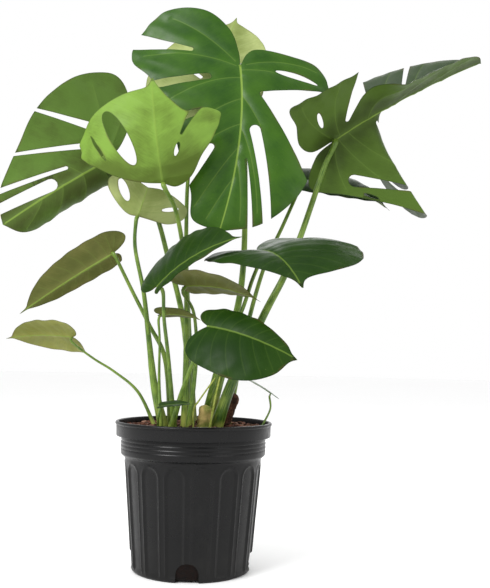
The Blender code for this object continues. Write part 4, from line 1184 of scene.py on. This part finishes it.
# ---------------------------------------------------------------- stalks, stem and roots
def tube(name, path, radii, ring_shape, surfaces, slot, *nodes):
    """A closed tube along a path; ring_shape gives each corner's share of the radius."""
    toward = Vector((0.0, 1.0, 0.0))
    points, kept = [], []
    lengths = path_lengths(path)
    for k, (place, radius) in enumerate(zip(path, radii)):
        ahead = path[min(k + 1, len(path) - 1)] - path[max(k - 1, 0)]
        normal = ahead.normalized()
        toward = (toward - toward.dot(normal) * normal).normalized()
        second = normal.cross(toward)
        run = lengths[k] / lengths[-1]
        for j in range(STALK_SIDES):
            turn = 2 * math.pi * j / STALK_SIDES
            share, channel = ring_shape(turn, run, place)
            out = toward * math.cos(turn) + second * math.sin(turn)
            points.append(place + out * (radius * share))
            kept.append((run, abs(turn - math.pi), channel))
    faces = ring_ends(0, STALK_SIDES, len(path)) + ring_sides(0, STALK_SIDES, len(path))
    mesh = new_mesh(name, points, faces)
    store(mesh, "stalk", kept)
    return add_piece(name, mesh, surfaces, slot, *nodes, angle=60)


def sheath_shape(turn, run, place):
    """A sheathed stalk's section: an open channel with raised wings low down, round higher up."""
    off = abs((turn + math.pi) % (2 * math.pi) - math.pi)
    open_share = float(1.0 - smooth_step(*SHEATH_CLOSING, run)) * float(smooth_step(0.0, 0.06, run))
    depth, span = SHEATH_SLOT
    slot = float(bell(off, span)) * open_share
    rise, place_off, wing_span = SHEATH_WING
    wing = float(bell(off - place_off, wing_span)) * open_share
    groove_depth, groove_span = SHAFT_GROOVE
    groove = groove_depth * float(bell(off, groove_span)) * float(smooth_step(0.45, 0.70, run))
    return 1.0 - depth * slot + rise * wing - groove, slot


def build_stalk(blade, sizes):
    """The leaf's stalk: sheathed foot in the soil, channelled shaft, swollen joint under the blade."""
    half_arch = blade.arch / 2
    up = blade.face * math.cos(half_arch) - blade.chord * math.sin(half_arch)
    forward = blade.chord * math.cos(half_arch) + blade.face * math.sin(half_arch)
    lean = (blade.fold[0] - blade.fold[1]) / 2
    opening = (math.pi + blade.fold[0] + blade.fold[1]) / 2
    below = blade.across * math.sin(lean) - up * math.cos(lean)
    standoff = (CAD_BLADE_THICKNESS / 2 + JOINT_GAP) / min(1.0, math.sin(opening))
    if opening < math.pi / 2:
        standoff += blade.stalk_radius / math.tan(opening)
    end = blade.base + below * standoff
    route = [on_plant(p) for p in sizes["route"]]
    route += [end + below * sizes["run_in"] - forward * (RUN_IN_SLANT * sizes["run_in"]), end]
    path = through(route, STALK_STEP)
    path.insert(0, path[0] - Vector((0.0, 0.0, STALK_SINK)))
    path[-1] = end - below * (JOINT_GAP + JOINT_END_GAP)
    lengths = path_lengths(path)
    radii = []
    for run in lengths:
        sheath = math.exp(-SHEATH_TAPER * run / lengths[-1])
        radius = blade.stalk_radius + (sizes["foot"] - blade.stalk_radius) * sheath
        from_end = lengths[-1] - run
        swell = SWELL_SHARE * float(bell(from_end - SWELL_FROM_END, SWELL_WIDTH))
        node = NODE_SHARE * float(bell(run - NODE_AT * lengths[-1], NODE_WIDTH))
        close = JOINT_END_SHARE + (1.0 - JOINT_END_SHARE) * from_end / JOINT_END_LENGTH
        radii.append(radius * (1.0 + swell + node) * min(1.0, close))
    name = blade.name.replace("blade", "petiole")
    node_name = blade.name.replace("blade", "stalk")
    return tube(name, path, radii, sheath_shape, [STALK_SURFACE], "stalk", node_name)


def root_shape(turn, run, place):
    """A wandering root: round with slow lumps."""
    return 1.0 + 0.18 * noise.noise(place * 160.0 + Vector((turn, 0.0, 0.0))), 0.0


def stem_shape(turn, run, place):
    """A bare old stem: ringed with leaf scars, cracked and uneven."""
    scar = 0.10 * math.exp(-(((run * 3.2) % 1.0 - 0.5) / 0.13) ** 2)
    rough = noise.noise(Vector((math.cos(turn), math.sin(turn), run * 5.0)) * 2.6)
    return 1.0 + scar + 0.12 * rough, 0.0


def build_rod(node, places, radius, tip_share, shape, surface, slot):
    """A short stem or root standing in the soil, with a closed rounded top."""
    path = through([on_plant(p) for p in places], ROD_STEP)
    path.insert(0, path[0] - Vector((0.0, 0.0, STALK_SINK)))
    count = len(path)
    radii = []
    for k in range(count):
        run = k / (count - 1)
        over = max(0.0, (run - ROD_ROUND) / (1.0 - ROD_ROUND))
        close = math.sqrt(max(0.0, 1.0 - over ** 2))
        radii.append(radius * (1.0 + (tip_share - 1.0) * run) * max(0.15, close))
    return tube(node + "_skin", path, radii, shape, [surface], slot, node)


# ---------------------------------------------------------------- pot
def flute_relief(bearing, height):
    """How far the fluting sinks the body's surface at some bearings and one height."""
    body_top = POT_HEIGHT - LIP_HEIGHT - BAND_HEIGHT - SHOULDER_HEIGHT
    pitch = 2 * math.pi / FLUTES
    off = np.abs((bearing % pitch) - pitch / 2) * BODY_TOP_RADIUS
    half = FLUTE_WIDTH / 2
    rise = max(0.0, height - (body_top - FLUTE_TOP_GAP - half))
    inward = half - np.hypot(off, rise)
    low = smooth_step(FOOT_ROUNDING, 2.2 * FOOT_ROUNDING, height)
    fade = 1.0 - smooth_step(body_top - 0.002, body_top, height)
    sunk = FLUTE_DEPTH * smooth_step(0.0, FLUTE_EDGE, inward)
    border = FLUTE_BORDER * bell(inward + FLUTE_BORDER_SET, FLUTE_BORDER_WIDTH)
    return (sunk - border) * low * fade


def pot_profile():
    """The turned wall from the foot up the outside, over the rim and down to the floor inside."""
    ledge = POT_HEIGHT - LIP_HEIGHT
    shoulder = ledge - BAND_HEIGHT
    body_top = shoulder - SHOULDER_HEIGHT
    outer = []
    for k in range(6):
        turn = math.pi / 2 * k / 5
        radius = BASE_RADIUS - FOOT_ROUNDING * (1 - math.sin(turn))
        outer.append((radius, FOOT_ROUNDING * (1 - math.cos(turn))))
    for k in range(1, BODY_LEVELS + 1):
        t = k / BODY_LEVELS
        radius = BASE_RADIUS + (BODY_TOP_RADIUS - BASE_RADIUS) * t
        outer.append((radius, FOOT_ROUNDING + (body_top - FOOT_ROUNDING) * t))
    for k in range(1, 8):
        t = k / 7
        radius = BODY_TOP_RADIUS + (BAND_RADIUS - BODY_TOP_RADIUS) * t * t * (3 - 2 * t)
        outer.append((radius, body_top + SHOULDER_HEIGHT * t))
    for k in range(1, 36):
        t = k / 36
        height = shoulder + BAND_HEIGHT * t
        sunk = sum(float(bell((t - groove) * BAND_HEIGHT, BAND_GROOVE_WIDTH)) for groove in BAND_GROOVES)
        bulge = BAND_BULGE * math.sin(math.pi * t)
        outer.append((BAND_RADIUS - BAND_GROOVE_DEPTH * sunk + bulge, height))
    lip_radius = RIM_RADIUS - LIP_ROLL * 0.62
    outer += [(BAND_RADIUS, ledge - 0.0004), (BAND_RADIUS + 0.0006, ledge), (lip_radius - 0.0012, ledge)]
    outer += [(lip_radius - 0.0003, ledge + 0.0004), (lip_radius, ledge + 0.0014)]
    bead = LIP_ROLL
    top = POT_HEIGHT - bead
    outer += [(lip_radius + 0.0002, top - bead * 1.9), (lip_radius + 0.0004, top - bead * 1.2)]
    centre = RIM_RADIUS - bead
    for k in range(11):
        turn = -math.pi / 3 + (math.pi * 0.5 + math.pi / 3) * k / 10
        outer.append((centre + bead * math.cos(turn), top + bead * math.sin(turn)))
    inner = [
        (centre - 0.0012, POT_HEIGHT - 0.0002), (centre - 0.0020, POT_HEIGHT - 0.0012),
        (INNER_RIM_RADIUS, POT_HEIGHT - 0.006), (INNER_RIM_RADIUS, ledge + POT_WALL + 0.001),
        (INNER_RIM_RADIUS - 0.001, ledge + POT_WALL), (BAND_RADIUS - POT_WALL, ledge + POT_WALL),
        (BAND_RADIUS - POT_WALL, shoulder), (BODY_TOP_RADIUS - POT_WALL, body_top),
        (BASE_RADIUS - POT_WALL, POT_FLOOR + FOOT_ROUNDING / 2),
        (BASE_RADIUS - POT_WALL - FOOT_ROUNDING / 2, POT_FLOOR),
    ]
    return outer, inner


def turned(name, rings):
    """A closed body through rings of points from its underside round to its inner floor."""
    count, levels = len(rings[0]), len(rings)
    points = [tuple(p) for ring in rings for p in ring]
    return new_mesh(name, points, ring_ends(0, count, levels) + ring_sides(0, count, levels))


def drain_cutter():
    """Arched blocks through the foot of the wall, one for each drainage hole."""
    points, faces = [], []
    half = DRAIN_WIDTH / 2
    section = [(-half, -DRAIN_OVERRUN / 2), (half, -DRAIN_OVERRUN / 2)]
    for k in range(ARCH_STEPS + 1):
        turn = math.pi * k / ARCH_STEPS
        section.append((half * math.cos(turn), DRAIN_HEIGHT - half + half * math.sin(turn)))
    for hole in range(DRAIN_HOLES):
        turn = Matrix.Rotation(2 * math.pi * hole / DRAIN_HOLES, 3, "Z")
        first = len(points)
        for depth in (BASE_RADIUS - POT_WALL - DRAIN_REACH, BASE_RADIUS + DRAIN_OVERRUN):
            points += [turn @ Vector((x, -depth, z)) for x, z in section]
        faces += ring_ends(first, len(section), 2) + ring_sides(first, len(section), 2)
    return link("drain_cutter", new_mesh("drain_cutter", points, faces))


def build_pot():
    """The fluted nursery pot, its drainage arches cut out and the cut kept in its mesh."""
    columns = FLUTES * COLUMNS_PER_FLUTE
    bearings = np.arange(columns) * (2 * math.pi / columns)
    outer, inner = pot_profile()
    rings = [round_ring(radius - flute_relief(bearings, z), z, bearings) for radius, z in outer]
    rings += [round_ring(radius, z, bearings) for radius, z in inner]
    uncut = link("pot_uncut", turned("pot_uncut", rings))
    cutter = drain_cutter()
    cut = uncut.modifiers.new("drainage", "BOOLEAN")
    cut.operation = "DIFFERENCE"
    cut.solver = "EXACT"
    cut.object = cutter
    bpy.context.view_layer.update()
    mesh = bpy.data.meshes.new_from_object(uncut.evaluated_get(bpy.context.evaluated_depsgraph_get()))
    for helper in (uncut, cutter):
        bpy.data.objects.remove(helper)
    mesh.materials.clear()
    return add_piece("nursery_pot", mesh, [pot_surface()], "pot", "pot", angle=32)


# ---------------------------------------------------------------- soil and bark chips
def soil_height(x, y):
    """The mix's loose surface: mounded at the stalks, sunk at the wall, lumpy all over."""
    lumps = noise.noise(Vector((x, y, 0.0)) * 95.0) + 0.5 * noise.noise(Vector((x, y, 1.0)) * 260.0)
    mound = SOIL_MOUND * math.exp(-(x * x + y * y) / SOIL_MOUND_RADIUS ** 2)
    return SOIL_TOP - SOIL_SETTLING + mound + SOIL_GRAIN * lumps


def build_soil():
    """The root ball: smooth where the pot's wall holds it, lumpy on top."""
    shoulder = POT_HEIGHT - LIP_HEIGHT - BAND_HEIGHT
    ledge = POT_HEIGHT - LIP_HEIGHT + POT_WALL
    sides = [
        (BASE_RADIUS - POT_WALL - FOOT_ROUNDING / 2, POT_FLOOR),
        (BASE_RADIUS - POT_WALL, POT_FLOOR + FOOT_ROUNDING / 2),
        (BODY_TOP_RADIUS - POT_WALL, shoulder - SHOULDER_HEIGHT), (BAND_RADIUS - POT_WALL, shoulder),
        (BAND_RADIUS - POT_WALL, ledge), (INNER_RIM_RADIUS, ledge),
    ]
    bearings = [2 * math.pi * k / SOIL_COLUMNS for k in range(SOIL_COLUMNS)]
    rings = []
    for radius, height in sides:
        inset = radius - SOIL_GAP
        rings.append([(inset * math.cos(t), inset * math.sin(t), height + SOIL_GAP) for t in bearings])
    top = INNER_RIM_RADIUS - SOIL_GAP
    for k in range(SOIL_RINGS):
        radius = top * (1.0 - k / SOIL_RINGS)
        ring = []
        for t in bearings:
            x, y = radius * math.cos(t), radius * math.sin(t)
            ring.append((x, y, soil_height(x, y)))
        rings.append(ring)
    surface = bark_surface(*MIX_LOOK)
    return add_piece("root_ball", turned("root_ball", rings), [surface], "soil", "soil", angle=70)


def build_chips(feet):
    """Loose bark chips strewn over the mix, clear of the stalks' feet."""
    points, faces, kept = [], [], []
    placed = 0
    reach = INNER_RIM_RADIUS - CHIP_WALL_GAP
    while placed < CHIPS:
        radius = reach * math.sqrt(random.random())
        bearing = random.uniform(0.0, 2 * math.pi)
        x, y = radius * math.cos(bearing), radius * math.sin(bearing)
        length = random.triangular(0.004, 0.014, 0.007)
        if any(math.hypot(x - fx, y - fy) < size + 0.35 * length + 0.001 for fx, fy, size in feet):
            continue
        if radius + length / 2 > reach + 0.005:
            continue
        placed += 1
        width = length * random.uniform(0.35, 0.65)
        thick = width * random.uniform(0.35, 0.75)
        turn = Matrix.Rotation(random.uniform(0.0, 2 * math.pi), 3, "Z")
        turn = turn @ Matrix.Rotation(random.gauss(0.0, 0.28), 3, "Y")
        turn = turn @ Matrix.Rotation(random.gauss(0.0, 0.5), 3, "X")
        middle = Vector((x, y, soil_height(x, y) + 0.38 * thick + random.uniform(0.0, 0.0012)))
        rims = [random.uniform(0.72, 1.15) for _ in range(CHIP_CORNERS)]
        first = len(points)
        tone = (random.random(), random.random(), 0.0)
        for along, size in CHIP_RINGS:
            slant = random.uniform(-0.05, 0.05) * length
            for k in range(CHIP_CORNERS):
                around = 2 * math.pi * k / CHIP_CORNERS
                local = Vector((
                    along * length + slant * math.cos(around),
                    0.5 * width * size * rims[k] * math.cos(around),
                    0.5 * thick * size * rims[k] * math.sin(around),
                ))
                points.append(middle + turn @ local)
                kept.append(tone)
        faces += ring_ends(first, CHIP_CORNERS, len(CHIP_RINGS))
        faces += ring_sides(first, CHIP_CORNERS, len(CHIP_RINGS))
    mesh = new_mesh("bark_chips", points, faces)
    store(mesh, "chip", kept)
    return add_piece("bark_chips", mesh, [chip_surface()], "soil", angle=28)


# ---------------------------------------------------------------- floor, light and camera
def build_floor():
    """A wide pale floor under the pot."""
    turns = [2 * math.pi * k / FLOOR_CORNERS for k in range(FLOOR_CORNERS)]
    corners = [(FLOOR_RADIUS * math.cos(turn), FLOOR_RADIUS * math.sin(turn), 0.0) for turn in turns]
    mesh = new_mesh("floor", corners, [list(range(FLOOR_CORNERS))])
    n = Nodes("pale_floor")
    mottle = n.noise(n.place(), 1.5, 4.0)
    mesh.materials.append(n.finish(n.mix(mottle, (0.955, 0.955, 0.955), (0.980, 0.980, 0.980)), 0.65))
    floor = link("floor", mesh)


def add_light(name, place, aim, size, power):
    """A soft square lamp that faces a point."""
    light = bpy.data.lights.new(name, "AREA")
    light.size = size
    light.energy = power
    lamp = link(name, light)
    lamp.location = place
    lamp.rotation_euler = (Vector(aim) - Vector(place)).to_track_quat("-Z", "Y").to_euler()


def set_stage():
    """Bright even studio light, a pale floor and the camera."""
    build_floor()
    world = bpy.data.worlds.new("studio")
    world.use_nodes = True
    sky = world.node_tree.nodes["Background"]
    sky.inputs["Color"].default_value = (1.0, 1.0, 1.0, 1.0)
    sky.inputs["Strength"].default_value = WORLD_STRENGTH
    bpy.context.scene.world = world
    bpy.context.scene.view_settings.view_transform = "Standard"
    for name, lamp in LAMPS.items():
        add_light(name, **lamp)
    lens = bpy.data.cameras.new("camera")
    lens.sensor_width = CAMERA_SENSOR
    lens.lens = CAMERA_LENS
    camera = link("camera", lens)
    tilt = Matrix.Rotation(math.pi / 2 + CAMERA_PITCH, 4, "X") @ Matrix.Rotation(CAMERA_ROLL, 4, "Z")
    camera.matrix_world = Matrix.Translation(CAMERA_PLACE) @ tilt
    bpy.context.scene.camera = camera


# ---------------------------------------------------------------- build everything
random.seed(11)
LEAF_SURFACES = {(look, upper): leaf_surface(look, upper) for look in LOOKS for upper in (True, False)}
STALK_SURFACE = stalk_surface()
for sizes in BLADES:
    blade = Blade(sizes)
    build_blade(blade)
    build_stalk(blade, STALKS[blade.name.replace("blade_", "")])
STEM_SURFACES = {name: bark_surface(*STEM_LOOKS[name]) for name in STEMS}
ROOT_SURFACE = bark_surface(*ROOT_LOOK)
for name, sizes in STEMS.items():
    ends = (sizes["foot"], sizes["top"])
    build_rod(name, ends, sizes["radius"], 0.9, stem_shape, STEM_SURFACES[name], "stem_bark")
for name, sizes in ROOTS.items():
    build_rod(name, sizes["route"], sizes["radius"], 0.75, root_shape, ROOT_SURFACE, "root")
build_pot()
build_soil()
feet = [(*sizes["route"][0][:2], sizes["foot"]) for sizes in STALKS.values()]
feet += [(*sizes["foot"][:2], sizes["radius"]) for sizes in STEMS.values()]
feet += [(*sizes["route"][0][:2], sizes["radius"]) for sizes in ROOTS.values()]
build_chips(feet)
set_stage()
